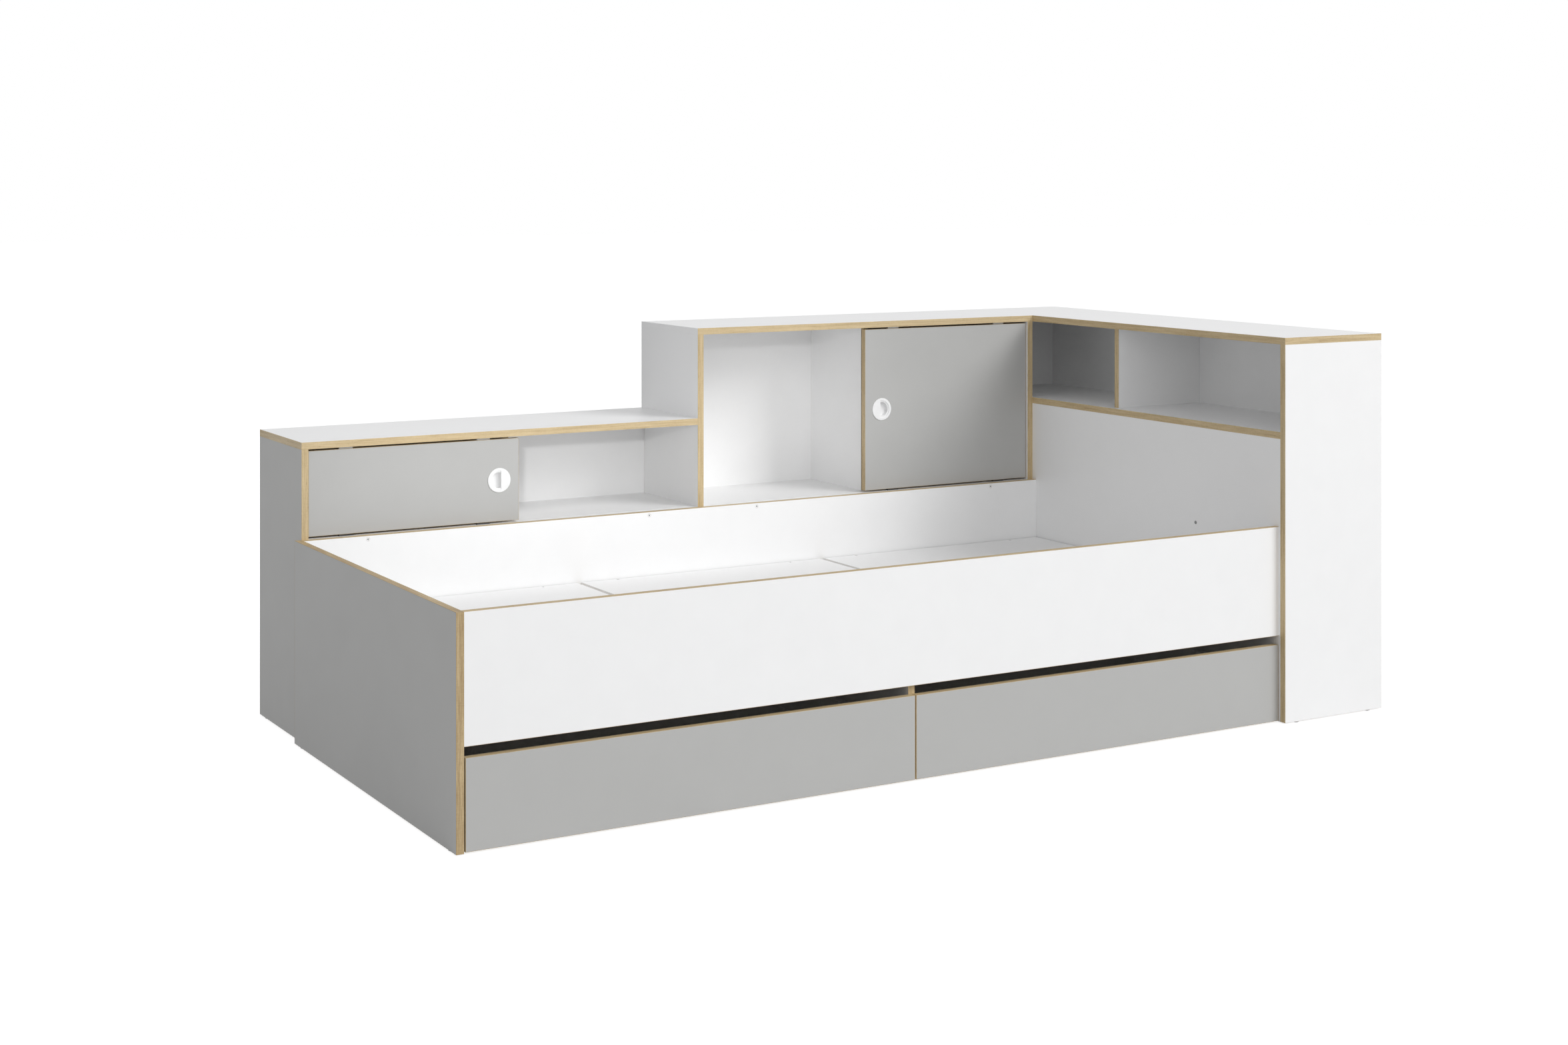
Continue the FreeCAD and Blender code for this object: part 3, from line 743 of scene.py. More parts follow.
def add_attribute(mesh: bpy.types.Mesh, name: str, values: Sequence[float] | Sequence[Vector]) -> None:
    """Writes a number or a vector for each point of a mesh.

    Args:
        mesh: The mesh.
        name: The attribute's name.
        values: The points' values.
    """
    if isinstance(values[0], Vector):
        layer = mesh.attributes.new(name, "FLOAT_VECTOR", "POINT")
        layer.data.foreach_set("vector", [part for value in values for part in value])
    else:
        layer = mesh.attributes.new(name, "FLOAT", "POINT")
        layer.data.foreach_set("value", values)


def add_object(name: str, mesh: bpy.types.Mesh) -> bpy.types.Object:
    """Puts a mesh into the scene.

    Args:
        name: The object's name.
        mesh: The mesh.

    Returns:
        The object.
    """
    piece = bpy.data.objects.new(name, mesh)
    bpy.context.scene.collection.objects.link(piece)
    return piece


def settle(piece: bpy.types.Object, body: str, finish: Finish, nodes: Iterable[str] = ()) -> None:
    """Hands a finished piece to the frame and reports it.

    Args:
        piece: The piece.
        body: The body that it rides on.
        finish: The piece's finish; it is not used.
        nodes: The CAD nodes that it stands for.
    """
    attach(piece, body)
    if nodes:
        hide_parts(*nodes)
    LOG.info("%s rides on %s with %d faces", piece.name, body, len(piece.data.polygons))


@dataclass
class Piece:
    """A piece that stands for a CAD node.

    Attributes:
        node: The CAD node.
        body: The body that it rides on.
    """

    node: str
    body: str

    @property
    def name(self) -> str:
        """Gives the piece's name."""
        return f"{self.node}_dressed"


@dataclass
class EasedNode(Piece):
    """A CAD node remade with eased edges, in a finish of its own.

    Attributes:
        finish: The finish of its faces.
        easing: How far its edges are eased.
        segments: The steps across an eased edge.
        second: The finish of the faces that differ, where some do.
    """

    finish: Finish
    easing: float = 0.3 * MM
    segments: int = 2
    second: Finish | None = None

    def build(self) -> None:
        """Makes the piece and hands it to the frame."""
        mesh = bpy.data.meshes.new(self.node)
        whole = bmesh.new()
        for solid in read_solids(self.node):
            work = eased_mesh(solid, self.easing, self.segments)
            work.normal_update()
            for face in work.faces:
                face.material_index = int(self.differs(face, solid.box))
            self.lay_grain(work, solid.box)
            part = bpy.data.meshes.new("part")
            work.to_mesh(part)
            whole.from_mesh(part)
            bpy.data.meshes.remove(part)
            work.free()
        whole.to_mesh(mesh)
        whole.free()
        for finish in filter(None, (self.finish, self.second)):
            mesh.materials.append(finish.material())
        mesh.set_sharp_from_angle(angle=SMOOTH_ANGLE)
        mesh.polygons.foreach_set("use_smooth", [face.area < FLAT_AREA for face in mesh.polygons])
        settle(add_object(self.name, mesh), self.body, self.finish, (self.node,))

    def differs(self, face: bmesh.types.BMFace, box: Box) -> bool:
        """Tells whether a face of a solid, with its box, has the second finish. None has by default."""
        return False

    def lay_grain(self, work: bmesh.types.BMesh, box: Box) -> None:
        """Writes each corner's place along, across and into the wood.

        Args:
            work: The solid's mesh.
            box: The solid's box, whose longest side is the grain's way.
        """
        low, high = box
        order = sorted(range(3), key=lambda axis: low[axis] - high[axis])
        layer = work.verts.layers.float_vector.new(GRAIN)
        for corner in work.verts:
            corner[layer] = Vector(corner.co[axis] for axis in order)


@dataclass
class DoorGuides(EasedNode):
    """A door's guides, of light plastic above and of dark plastic below, whose dark is painted shade in the
    gap under the door.
    """

    # The lower guides are dark to paint the shade in the gap under the door.
    second: Finish | None = WHEEL_PLASTIC

    @cached_property
    def middle(self) -> float:
        """Gives the height halfway between the upper and the lower guides."""
        return sum(corner.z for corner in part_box(self.node)) / 2

    def differs(self, face: bmesh.types.BMFace, box: Box) -> bool:
        """Tells whether a face is on a lower guide."""
        return box[1].z < self.middle


@dataclass
class Board(EasedNode):
    """A faced board. Its core shows in its grooves and bores and on its unfaced sides.

    Attributes:
        bare: The sides that show the core.
        lined: Whether its grooves have the face's finish too.
    """

    bare: tuple[Side, ...] = ()
    lined: bool = False
    second: Finish | None = CORE

    def differs(self, face: bmesh.types.BMFace, box: Box) -> bool:
        """Tells whether the core shows on a face.

        Args:
            face: The face.
            box: The board's box.

        Returns:
            True where the core shows.
        """
        centre = face.calc_center_median()
        near = self.easing * EASING_REACH
        met = [side for side in Side if abs(centre[side.axis] - box[side.sign > 0][side.axis]) < near]
        if max(map(abs, face.normal)) > ALIGNED:
            met = [side for side in met if face.normal.dot(side.outward) > ALIGNED]
        elif len(met) < 2:
            met = []
        return any(side in self.bare for side in met) if met else not self.lined


@dataclass
class BackPanel(EasedNode):
    """A thin back: lacquered towards the inside, bare hardboard behind.

    Attributes:
        rear: The side that is bare.
    """

    rear: Side = Side.BACK
    second: Finish | None = BARE_HARDBOARD

    def differs(self, face: bmesh.types.BMFace, box: Box) -> bool:
        """Tells whether a face is bare, as all are but the one towards the inside."""
        return face.normal.dot(self.rear.outward) >= -ALIGNED


class GeometryTree(NodeTree):
    """A geometry tree with named inputs that becomes a plain mesh on an object."""

    def __init__(self, name: str, inputs: dict[str, str]) -> None:
        """Makes the tree with its inputs.

        Args:
            name: The tree's name.
            inputs: The kind of each input, by its name.
        """
        super().__init__(bpy.data.node_groups.new(name, "GeometryNodeTree"))
        add_socket = self.tree.interface.new_socket
        add_socket("Geometry", in_out="INPUT", socket_type="NodeSocketGeometry")
        add_socket("Geometry", in_out="OUTPUT", socket_type="NodeSocketGeometry")
        self.identifiers = {
            word: add_socket(word, in_out="INPUT", socket_type=f"NodeSocket{kind}").identifier
            for word, kind in inputs.items()
        }
        self.given = self.add("NodeGroupInput").outputs

    def field(self, attribute: str, kind: str) -> Socket:
        """Reads a named attribute of the geometry."""
        return self.add("GeometryNodeInputNamedAttribute", {"Name": attribute}, data_type=kind).outputs[0]

    def store(
        self, geometry: Socket, attribute: str, value: Socket | float, kind: str, domain: str = "POINT",
    ) -> Socket:
        """Writes a named attribute of the geometry."""
        inputs = {"Geometry": geometry, "Name": attribute, "Value": value}
        return self.add("GeometryNodeStoreNamedAttribute", inputs, data_type=kind, domain=domain).outputs[0]

    def random(self, low: Socket | float, high: Socket | float, seed: Socket) -> Socket:
        """Draws a number for each element, by the node's sockets for numbers and its seed."""
        return self.add("FunctionNodeRandomValue", {2: low, 3: high, 8: seed}, data_type="FLOAT").outputs[1]

    def facing_turn(self) -> Socket:
        """Gives the turn that points Z the way that each point faces."""
        way = self.field(FACING, "FLOAT_VECTOR")
        return self.add("FunctionNodeAlignRotationToVector", {"Vector": way}, axis="Z").outputs[0]

    def on_points(self, part: Socket, turn: Socket) -> Socket:
        """Sets a part on every point of the mesh."""
        inputs = {"Points": self.given["Geometry"], "Instance": part, "Rotation": turn}
        return self.add("GeometryNodeInstanceOnPoints", inputs).outputs[0]

    def finish(self, geometry: Socket) -> None:
        """Ends the tree: instances are made real and get their material.

        Args:
            geometry: The tree's result.
        """
        real = self.add("GeometryNodeRealizeInstances", {0: geometry}).outputs[0]
        flat = self.add("GeometryNodeSetShadeSmooth", {0: real, "Shade Smooth": False}).outputs[0]
        dressed = self.add("GeometryNodeSetMaterial", {0: flat, "Material": self.given["Material"]})
        self.add("NodeGroupOutput", {0: dressed.outputs[0]})

    def make(
        self, name: str, mesh: bpy.types.Mesh, body: str, finish: Finish, nodes: Iterable[str],
        sizes: dict[str, float],
    ) -> None:
        """Runs the tree on a mesh and hands the result to the frame as a plain piece.

        Args:
            name: The piece's name.
            mesh: The tree's geometry.
            body: The body that the piece rides on.
            finish: Its finish.
            nodes: The CAD nodes that it stands for.
            sizes: The tree's other inputs, by name.
        """
        piece = add_object(name, mesh)
        modifier = piece.modifiers.new(self.tree.name, "NODES")
        modifier.node_group = self.tree
        for word, value in (sizes | {"Material": finish.material()}).items():
            modifier[self.identifiers[word]] = value
        graph = bpy.context.evaluated_depsgraph_get()
        made = bpy.data.meshes.new_from_object(
            piece.evaluated_get(graph), preserve_all_data_layers=True, depsgraph=graph,
        )
        made.name = piece.name
        made.materials.clear()
        made.materials.append(finish.material())
        piece.modifiers.clear()
        piece.data = made
        settle(piece, body, finish, nodes)


@cache
def shared(kind: type[GeometryTree]) -> GeometryTree:
    """Gives the one tree of a kind, made when it is first asked for."""
    return kind()


class BandTree(GeometryTree):
    """Runs an edge band with two rounded outer edges along every edge of a mesh."""

    ALONG = "along"
    ACROSS = "across"
    SHIFT = "shift"
    ROUND_STEPS = 4

    def __init__(self) -> None:
        """Makes the tree's nodes."""
        super().__init__("edge_bands", {
            "Thickness": "Float", "Width": "Float", "Rounding": "Float", "Grain Shift": "Float",
            "Seed": "Int", "Material": "Material",
        })
        lines = self.add("GeometryNodeMeshToCurve", {0: self.given["Geometry"]}).outputs[0]
        facing = self.field(OUTWARD, "FLOAT_VECTOR")
        lines = self.add("GeometryNodeSetCurveNormal", {0: lines, "Normal": facing}, mode="FREE").outputs[0]
        length = self.add("GeometryNodeSplineParameter").outputs["Length"]
        lines = self.store(lines, self.ALONG, length, "FLOAT")
        shift = self.random(0.0, self.given["Grain Shift"], self.given["Seed"])
        lines = self.store(lines, self.SHIFT, shift, "FLOAT", "CURVE")
        sweep = self.add("GeometryNodeCurveToMesh", {0: lines, 1: self.section(), "Fill Caps": True})
        along = self.math("ADD", self.field(self.ALONG, "FLOAT"), self.field(self.SHIFT, "FLOAT"))
        across = self.add("ShaderNodeSeparateXYZ", {0: self.field(self.ACROSS, "FLOAT_VECTOR")}).outputs
        grain = self.add("ShaderNodeCombineXYZ", {0: along, 1: across[1], 2: across[0]}).outputs[0]
        self.finish(self.store(sweep.outputs[0], GRAIN, grain, "FLOAT_VECTOR"))

    def section(self) -> Socket:
        """Makes the band's section, outward along X, with its outer corners rounded.

        Returns:
            The section's curve.
        """
        sizes = {"Width": self.given["Thickness"], "Height": self.given["Width"]}
        outline = self.add("GeometryNodeCurvePrimitiveQuadrilateral", sizes).outputs[0]
        place = self.add("GeometryNodeInputPosition").outputs[0]
        outer = self.math("GREATER_THAN", self.add("ShaderNodeSeparateXYZ", {0: place}).outputs[0], 0.0)
        radius = self.math("MULTIPLY", outer, self.given["Rounding"])
        inputs = {"Curve": outline, "Count": self.ROUND_STEPS, "Radius": radius}
        rounded = self.add("GeometryNodeFilletCurve", inputs, mode="POLY").outputs[0]
        return self.store(rounded, self.ACROSS, place, "FLOAT_VECTOR")


class ScrewTree(GeometryTree):
    """Sets a countersunk cross-head screw at every point of a mesh, turned at random."""

    STEPS = 24
    BETWEEN_RINGS = 0.5

    def __init__(self) -> None:
        """Makes the tree's nodes."""
        super().__init__("countersunk_screws", {
            "Head Radius": "Float", "Head Height": "Float", "Shank Radius": "Float", "Length": "Float",
            "Recess Length": "Float", "Recess Width": "Float", "Recess Depth": "Float",
            "Seed": "Int", "Material": "Material",
        })
        spin = self.add("FunctionNodeAxisAngleToRotation", {
            "Axis": (0, 0, 1), "Angle": self.random(0.0, FULL_TURN, self.given["Seed"]),
        }).outputs[0]
        turns = {0: self.facing_turn(), 1: spin}
        turn = self.add("FunctionNodeRotateRotation", turns, rotation_space="LOCAL").outputs[0]
        self.finish(self.on_points(self.carved(self.blank()), turn))

    def blank(self) -> Socket:
        """Makes the screw without its recess, from a unit rod with rings at -1, 0 and 1.

        Returns:
            The blank, with the head's face at the origin.
        """
        rod = self.add("GeometryNodeMeshCylinder", {
            "Vertices": self.STEPS, "Side Segments": 2, "Radius": 1.0, "Depth": 2.0,
        }).outputs["Mesh"]
        place = self.add("GeometryNodeInputPosition").outputs[0]
        level = self.add("ShaderNodeSeparateXYZ", {0: place}).outputs[2]
        is_face = self.math("GREATER_THAN", level, self.BETWEEN_RINGS)
        is_tip = self.math("LESS_THAN", level, -self.BETWEEN_RINGS)
        radius = self.span(is_face, self.given["Shank Radius"], self.given["Head Radius"])
        shank = self.math("SUBTRACT", self.given["Length"], self.given["Head Height"])
        cone = self.span(is_face, self.given["Head Height"], 0.0)
        depth = self.math("ADD", cone, self.span(is_tip, 0.0, shank))
        scale = self.add("ShaderNodeCombineXYZ", {0: radius, 1: radius}).outputs[0]
        drop = self.add("ShaderNodeCombineXYZ", {2: self.math("MULTIPLY", depth, -1.0)}).outputs[0]
        place = self.add("ShaderNodeVectorMath", {0: place, 1: scale, 2: drop}, operation="MULTIPLY_ADD")
        return self.add("GeometryNodeSetPosition", {0: rod, "Position": place.outputs[0]}).outputs[0]

    def carved(self, blank: Socket) -> Socket:
        """Cuts the cross recess into the head and marks its faces for painted shade.

        Args:
            blank: The screw without its recess.

        Returns:
            The screw.
        """
        cut = self.add("GeometryNodeMeshBoolean", {0: blank}, operation="DIFFERENCE", solver="EXACT")
        # Half of each cutter stands above the head.
        depth = self.math("MULTIPLY", self.given["Recess Depth"], 2.0)
        length, width = self.given["Recess Length"], self.given["Recess Width"]
        for sides in ((length, width), (width, length)):
            size = self.add("ShaderNodeCombineXYZ", {0: sides[0], 1: sides[1], 2: depth}).outputs[0]
            slot = self.add("GeometryNodeMeshCube", {"Size": size}).outputs[0]
            # The cutters mark the recess's faces, whose shade is painted dark.
            self.tree.links.new(self.store(slot, RECESS_SHADE, 1.0, "FLOAT", "FACE"), cut.inputs[1])
        return cut.outputs[0]


class DomeTree(GeometryTree):
    """Sets a domed disc on every point of a mesh, facing the point's way."""

    STEPS = 32
    RINGS = 5
    FLATNESS = 8.0

    def __init__(self) -> None:
        """Makes the tree's nodes."""
        super().__init__("domed_discs", {
            "Radius": "Float", "Height": "Float", "Crown": "Float", "Material": "Material",
        })
        wall = self.math("SUBTRACT", self.given["Height"], self.given["Crown"])
        disc = self.add("GeometryNodeMeshCylinder", {
            "Vertices": self.STEPS, "Fill Segments": self.RINGS,
            "Radius": self.given["Radius"], "Depth": wall,
        }, fill_type="TRIANGLE_FAN").outputs
        domed = self.add("GeometryNodeSetPosition", {
            "Geometry": disc["Mesh"], "Selection": disc["Top"], "Offset": self.rise(),
        }).outputs[0]
        way = self.add("ShaderNodeCombineXYZ", {2: self.math("MULTIPLY", wall, 0.5)}).outputs[0]
        seated = self.add("GeometryNodeTransform", {0: domed, "Translation": way}).outputs[0]
        self.finish(self.on_points(seated, self.facing_turn()))

    def rise(self) -> Socket:
        """Works out how far the dome rises over each point of the disc.

        Returns:
            The rise as a vector.
        """
        place = self.add("GeometryNodeInputPosition").outputs[0]
        reach = self.add("ShaderNodeVectorMath", {0: self.scaled(place, (1, 1, 0))}, operation="LENGTH")
        share = self.math("DIVIDE", reach.outputs["Value"], self.given["Radius"])
        fall = self.math("POWER", share, self.FLATNESS)
        height = self.math("MULTIPLY", self.given["Crown"], self.math("SUBTRACT", 1.0, fall))
        return self.add("ShaderNodeCombineXYZ", {2: height}).outputs[0]


@dataclass(frozen=True)
class Strip:
    """One edge band.

    Attributes:
        low: The lowest corner of its box.
        high: The highest corner of its box.
        side: The side of the board that it is glued to.
        tone: How much lighter or darker it is drawn than the middle tone.
    """

    low: Vector
    high: Vector
    side: Side
    tone: float = 0.0


@dataclass
class Bands(Piece):
    """The oak edge bands of one sub-assembly.

    Attributes:
        seed: The seed of their grain's shifts.
        thickness: The thickness of a band.
        width: The width of a band, which is a board's thickness.
        rounding: The rounding of its outer edges.
        grain_shift: How far the grain of a band may be shifted.
        strips: The bands.
    """

    seed: int
    thickness: float = 0.5 * MM
    width: float = 16.0 * MM
    rounding: float = 0.2 * MM
    grain_shift: float = 9.0
    strips: list[Strip] = field(default_factory=list)

    def edge(self, node: str, *sides: Side, tone: float = 0.0) -> None:
        """Puts bands on a board. The first runs the whole edge, and each later one stops against it.

        Args:
            node: The board, less its bands.
            sides: The sides that have a band.
            tone: How much lighter or darker they are drawn.
        """
        low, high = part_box(node)
        for side in reversed(sides):
            strip = [low.copy(), high.copy()]
            face = strip[side.sign > 0][side.axis]
            strip[side.sign < 0][side.axis] = face
            strip[side.sign > 0][side.axis] = face + side.sign * self.thickness
            self.strips.append(Strip(*strip, side, tone))
            grown = high if side.sign > 0 else low
            grown[side.axis] = face + side.sign * self.thickness

    def build(self) -> None:
        """Runs the bands along their lines and hands them to the frame."""
        places, lines, outward, tones = [], [], [], []
        for strip in self.strips:
            span = strip.high - strip.low
            way = max(range(3), key=span.__getitem__)
            start = (strip.low + strip.high) / 2
            end = start.copy()
            start[way], end[way] = strip.low[way], strip.high[way]
            lines.append((len(places), len(places) + 1))
            places += [start, end]
            outward += [strip.side.outward] * 2
            tones += [strip.tone] * 2
        mesh = bpy.data.meshes.new(self.node)
        mesh.from_pydata(places, lines, [])
        add_attribute(mesh, OUTWARD, outward)
        add_attribute(mesh, TONE, tones)
        shared(BandTree).make(self.name, mesh, self.body, OAK_BAND, (self.node,), {
            "Thickness": self.thickness, "Width": self.width, "Rounding": self.rounding,
            "Grain Shift": self.grain_shift, "Seed": self.seed,
        })


def point_mesh(name: str, places: Sequence[Vector], facing: Side) -> bpy.types.Mesh:
    """Makes a mesh of loose points that all face one way.

    Args:
        name: The mesh's name.
        places: The points.
        facing: The side that they face.

    Returns:
        The mesh.
    """
    mesh = bpy.data.meshes.new(name)
    mesh.from_pydata(places, [], [])
    add_attribute(mesh, FACING, [facing.outward] * len(places))
    return mesh


@dataclass
class Screws(Piece):
    """A set of countersunk screws.

    Attributes:
        facing: The side that the heads face.
        seed: The seed of the heads' turns.
        finish: Their finish.
        head_radius: The radius of a head.
        head_height: The height of a head's cone.
        shank_radius: The radius of the shank.
        recess: The length, width and depth of the cross recess.
    """

    facing: Side
    seed: int
    finish: Finish = WHITE_PAINT
    head_radius: float = 4.5 * MM
    head_height: float = 2.5 * MM
    shank_radius: float = 2.5 * MM
    recess: tuple[float, float, float] = (5.0 * MM, 1.1 * MM, 1.6 * MM)

    def build(self) -> None:
        """Sets the screws and hands them to the frame."""
        boxes = [solid.box for solid in read_solids(self.node)]
        axis = self.facing.axis
        heads = []
        for low, high in boxes:
            head = (low + high) / 2
            head[axis] = (high if self.facing.sign > 0 else low)[axis]
            heads.append(head)
        mesh = point_mesh(self.node, heads, self.facing)
        shared(ScrewTree).make(self.name, mesh, self.body, self.finish, (self.node,), {
            "Head Radius": self.head_radius, "Head Height": self.head_height,
            "Shank Radius": self.shank_radius, "Length": boxes[0][1][axis] - boxes[0][0][axis],
            "Recess Length": self.recess[0], "Recess Width": self.recess[1], "Recess Depth": self.recess[2],
            "Seed": self.seed,
        })


@dataclass
class DomedDiscs:
    """A set of domed plastic discs, such as floor glides or a cover cap.

    Attributes:
        name: The piece's name.
        body: The body that they ride on.
        facing: The side that the domes face.
        radius: The radius of a disc.
        height: Its height with the dome.
        crown: The height of the dome.
        finish: Their finish.
    """

    name: str
    body: str
    facing: Side
    radius: float
    height: float
    crown: float
    finish: Finish = GREY_PLASTIC

    def build(self, places: Sequence[Vector], nodes: Iterable[str] = ()) -> None:
        """Sets the discs and hands them to the frame.

        Args:
            places: The middles of their flat sides.
            nodes: The CAD nodes that they stand for.
        """
        mesh = point_mesh(self.name, places, self.facing)
        sizes = {"Radius": self.radius, "Height": self.height, "Crown": self.crown}
        shared(DomeTree).make(self.name, mesh, self.body, self.finish, nodes, sizes)


@dataclass
class SubAssembly:
    """A part of the bed that is made as one.

    Attributes:
        band_seed: The seed of its bands' grain.
        body: The body that it rides on.
    """

    band_seed: int
    body: str = BED

    def build(self) -> None:
        """Makes and dresses its pieces."""
        raise NotImplementedError

    def board(self, node: str, finish: Finish = WHITE, **options: object) -> None:
        """Makes a board of it, with the options that a Board takes."""
        Board(node, self.body, finish, **options).build()


@dataclass
class BedBox(SubAssembly):
    """The footboard, rails and mattress base.

    Attributes:
        timber_easing: How far the softwood's edges are eased.
        screw_seed: The seed of the screws' turns.
        foot_tone: The tone of the footboard's bands.
        rail_tone: The tone of the front rail's bands.
    """

    timber_easing: float = 1.2 * MM
    screw_seed: int = 11
    foot_tone: float = -0.15
    rail_tone: float = -0.07

    def build(self) -> None:
        """Makes and dresses the bed's pieces."""
        self.board("footboard", GREY, bare=(Side.UNDER,))
        for node in ("front_rail", "back_rail"):
            self.board(node)
        self.board("centre_panel", bare=(Side.UNDER,))
        for part in ("foot", "middle", "head"):
            self.board(f"base_board_{part}")
        for node in ("base_ledgers", "seam_battens"):
            EasedNode(node, self.body, PINE, easing=self.timber_easing).build()
        bands = Bands("bed_edging", self.body, self.band_seed)
        bands.edge("footboard", Side.TOP, Side.FRONT, Side.BACK, tone=self.foot_tone)
        bands.edge("front_rail", Side.TOP, Side.UNDER, tone=self.rail_tone)
        bands.edge("back_rail", Side.TOP, Side.UNDER)
        bands.edge("centre_panel", Side.FRONT)
        bands.build()
        Screws("base_board_screws", self.body, Side.TOP, self.screw_seed).build()
        Screws("rail_screws", self.body, Side.FRONT, self.screw_seed + 1).build()


@dataclass
class WallCabinets(SubAssembly):
    """The low and the high cabinet along the wall.

    Attributes:
        top_tone: The tone of the tops' bands.
    """

    top_tone: float = 0.05

    def build(self) -> None:
        """Makes and dresses the cabinets' pieces."""
        behind = (Side.BACK, Side.UNDER)
        bands = Bands("cabinet_edging", self.body, self.band_seed)
        for node, finish in (("low_cabinet_side", GREY), ("tall_side", WHITE), ("high_cabinet_side", WHITE)):
            self.board(node, finish, bare=behind)
            bands.edge(node, Side.FRONT)
        for name, ends in (("low", (Side.FRONT, Side.LEFT)), ("high", (Side.FRONT,))):
            self.board(f"{name}_cabinet_top", bare=(Side.BACK,))
            bands.edge(f"{name}_cabinet_top", *ends, tone=self.top_tone)
            self.board(f"{name}_cabinet_floor", bare=(Side.BACK,), lined=True)
            self.board(f"{name}_cabinet_divider")
            bands.edge(f"{name}_cabinet_divider", Side.FRONT)
            BackPanel(f"{name}_cabinet_back", self.body, LACQUER).build()
        bands.build()
        self.board("cabinet_stretchers")


@dataclass
class Bookcase(SubAssembly):
    """The open bookcase across the head.

    Attributes:
        cap_place: The place across the bed and the height of the cover cap on the head panel.
        cap_radius: The radius of the cap.
        cap_height: Its height with the dome.
        cap_crown: The height of the dome.
    """

    cap_place: tuple[float, float] = (-328.5 * MM, 425.0 * MM)
    cap_radius: float = 4.0 * MM
    cap_height: float = 1.2 * MM
    cap_crown: float = 0.7 * MM

    def build(self) -> None:
        """Makes and dresses the bookcase's pieces."""
        for node, *bare in (
            ("bookcase_end_front", Side.RIGHT, Side.UNDER),
            ("bookcase_end_rear", Side.RIGHT, Side.UNDER),
            ("bookcase_top", Side.RIGHT),
            ("head_panel", Side.UNDER),
            ("bookcase_shelf",),
            ("bookcase_divider",),
        ):
            self.board(node, bare=tuple(bare))
        BackPanel("bookcase_back", self.body, LACQUER, rear=Side.RIGHT).build()
        bands = Bands("bookcase_edging", self.body, self.band_seed)
        for node in ("bookcase_end_front", "bookcase_shelf", "bookcase_divider"):
            bands.edge(node, Side.LEFT)
        self.edge_top(bands)
        bands.build()
        self.add_cap()

    def edge_top(self, bands: Bands) -> None:
        """Puts bands on the top: on its near end, and on its left side as far as the cabinet.

        Args:
            bands: The bookcase's bands.
        """
        low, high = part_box("bookcase_top")
        cabinet_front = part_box("back_rail")[1].y
        near = low.y - bands.thickness
        inner = low.x + bands.thickness
        bands.strips += [
            Strip(Vector((low.x, near, low.z)), Vector((inner, cabinet_front, high.z)), Side.LEFT),
            Strip(Vector((inner, near, low.z)), Vector((high.x, low.y, high.z)), Side.FRONT),
        ]

    def add_cap(self) -> None:
        """Sets the small cover cap on the head panel, above the mattress base."""
        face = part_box("head_panel")[0].x
        # The cap's mid grey is partly painted shade.
        cap = DomedDiscs(
            "head_panel_cap", self.body, Side.LEFT, self.cap_radius, self.cap_height, self.cap_crown,
            CAP_PLASTIC,
        )
        cap.build([Vector((face, *self.cap_place))])


@dataclass
class SlidingDoor(SubAssembly):
    """A sliding door with its pull and guides. Its body's name begins its nodes' names.

    Attributes:
        band_tone: The tone of the bands.
        pull_easing: How far the pull's edges are eased.
        pull_segments: The steps across an eased edge of the pull.
        guide_easing: How far the guides' edges are eased.
    """

    band_tone: float = -0.05
    pull_easing: float = 0.35 * MM
    pull_segments: int = 3
    guide_easing: float = 0.5 * MM

    def build(self) -> None:
        """Makes and dresses the door's pieces."""
        body = self.body
        self.board(f"{body}_panel", GREY)
        bands = Bands(f"{body}_edging", body, self.band_seed)
        bands.edge(f"{body}_panel", Side.LEFT, Side.RIGHT, Side.TOP, Side.UNDER, tone=self.band_tone)
        bands.build()
        EasedNode(f"{body}_pull", body, WHITE_PLASTIC, self.pull_easing, self.pull_segments).build()
        DoorGuides(f"{body}_guides", body, GREY_PLASTIC, easing=self.guide_easing).build()


@dataclass
class Drawer(SubAssembly):
    """A drawer that rolls on four castors. Its body's name begins its nodes' names.

    Attributes:
        band_tone: The tone of the bands.
        castor_easing: How far the castors' edges are eased.
        wheel_easing: How far the wheels' edges are eased.
        wheel_segments: The steps across an eased edge of a wheel.
    """

    band_tone: float = 0.08
    castor_easing: float = 0.6 * MM
    wheel_easing: float = 0.8 * MM
    wheel_segments: int = 3

    def build(self) -> None:
        """Makes and dresses the drawer's pieces."""
        body = self.body
        self.board(f"{body}_front", GREY)
        bands = Bands(f"{body}_edging", body, self.band_seed)
        bands.edge(f"{body}_front", Side.TOP, Side.LEFT, Side.RIGHT, Side.UNDER, tone=self.band_tone)
        bands.build()
        for part in ("side_left", "side_right", "back", "bottom"):
            self.board(f"{body}_{part}", bare=(Side.UNDER,))
        EasedNode(f"{body}_castors", body, STEEL, easing=self.castor_easing).build()
        for row in ("front", "rear"):
            wheels = f"{body}_wheels_{row}"
            EasedNode(wheels, wheels, WHEEL_PLASTIC, self.wheel_easing, self.wheel_segments).build()


@dataclass
class Glides(Piece):
    """The nailed glides under every board that stands on the floor.

    Attributes:
        crown: The height of the dome.
    """

    crown: float = 1.0 * MM

    def build(self) -> None:
        """Makes the glides at the size of the CAD node's solids."""
        boxes = [solid.box for solid in read_solids(self.node)]
        low, high = boxes[0]
        radius, height = (high.x - low.x) / 2, high.z - low.z
        places = [Vector(((a.x + b.x) / 2, (a.y + b.y) / 2, b.z)) for a, b in boxes]
        glides = DomedDiscs(self.name, self.body, Side.UNDER, radius, height, self.crown)
        glides.build(places, (self.node,))


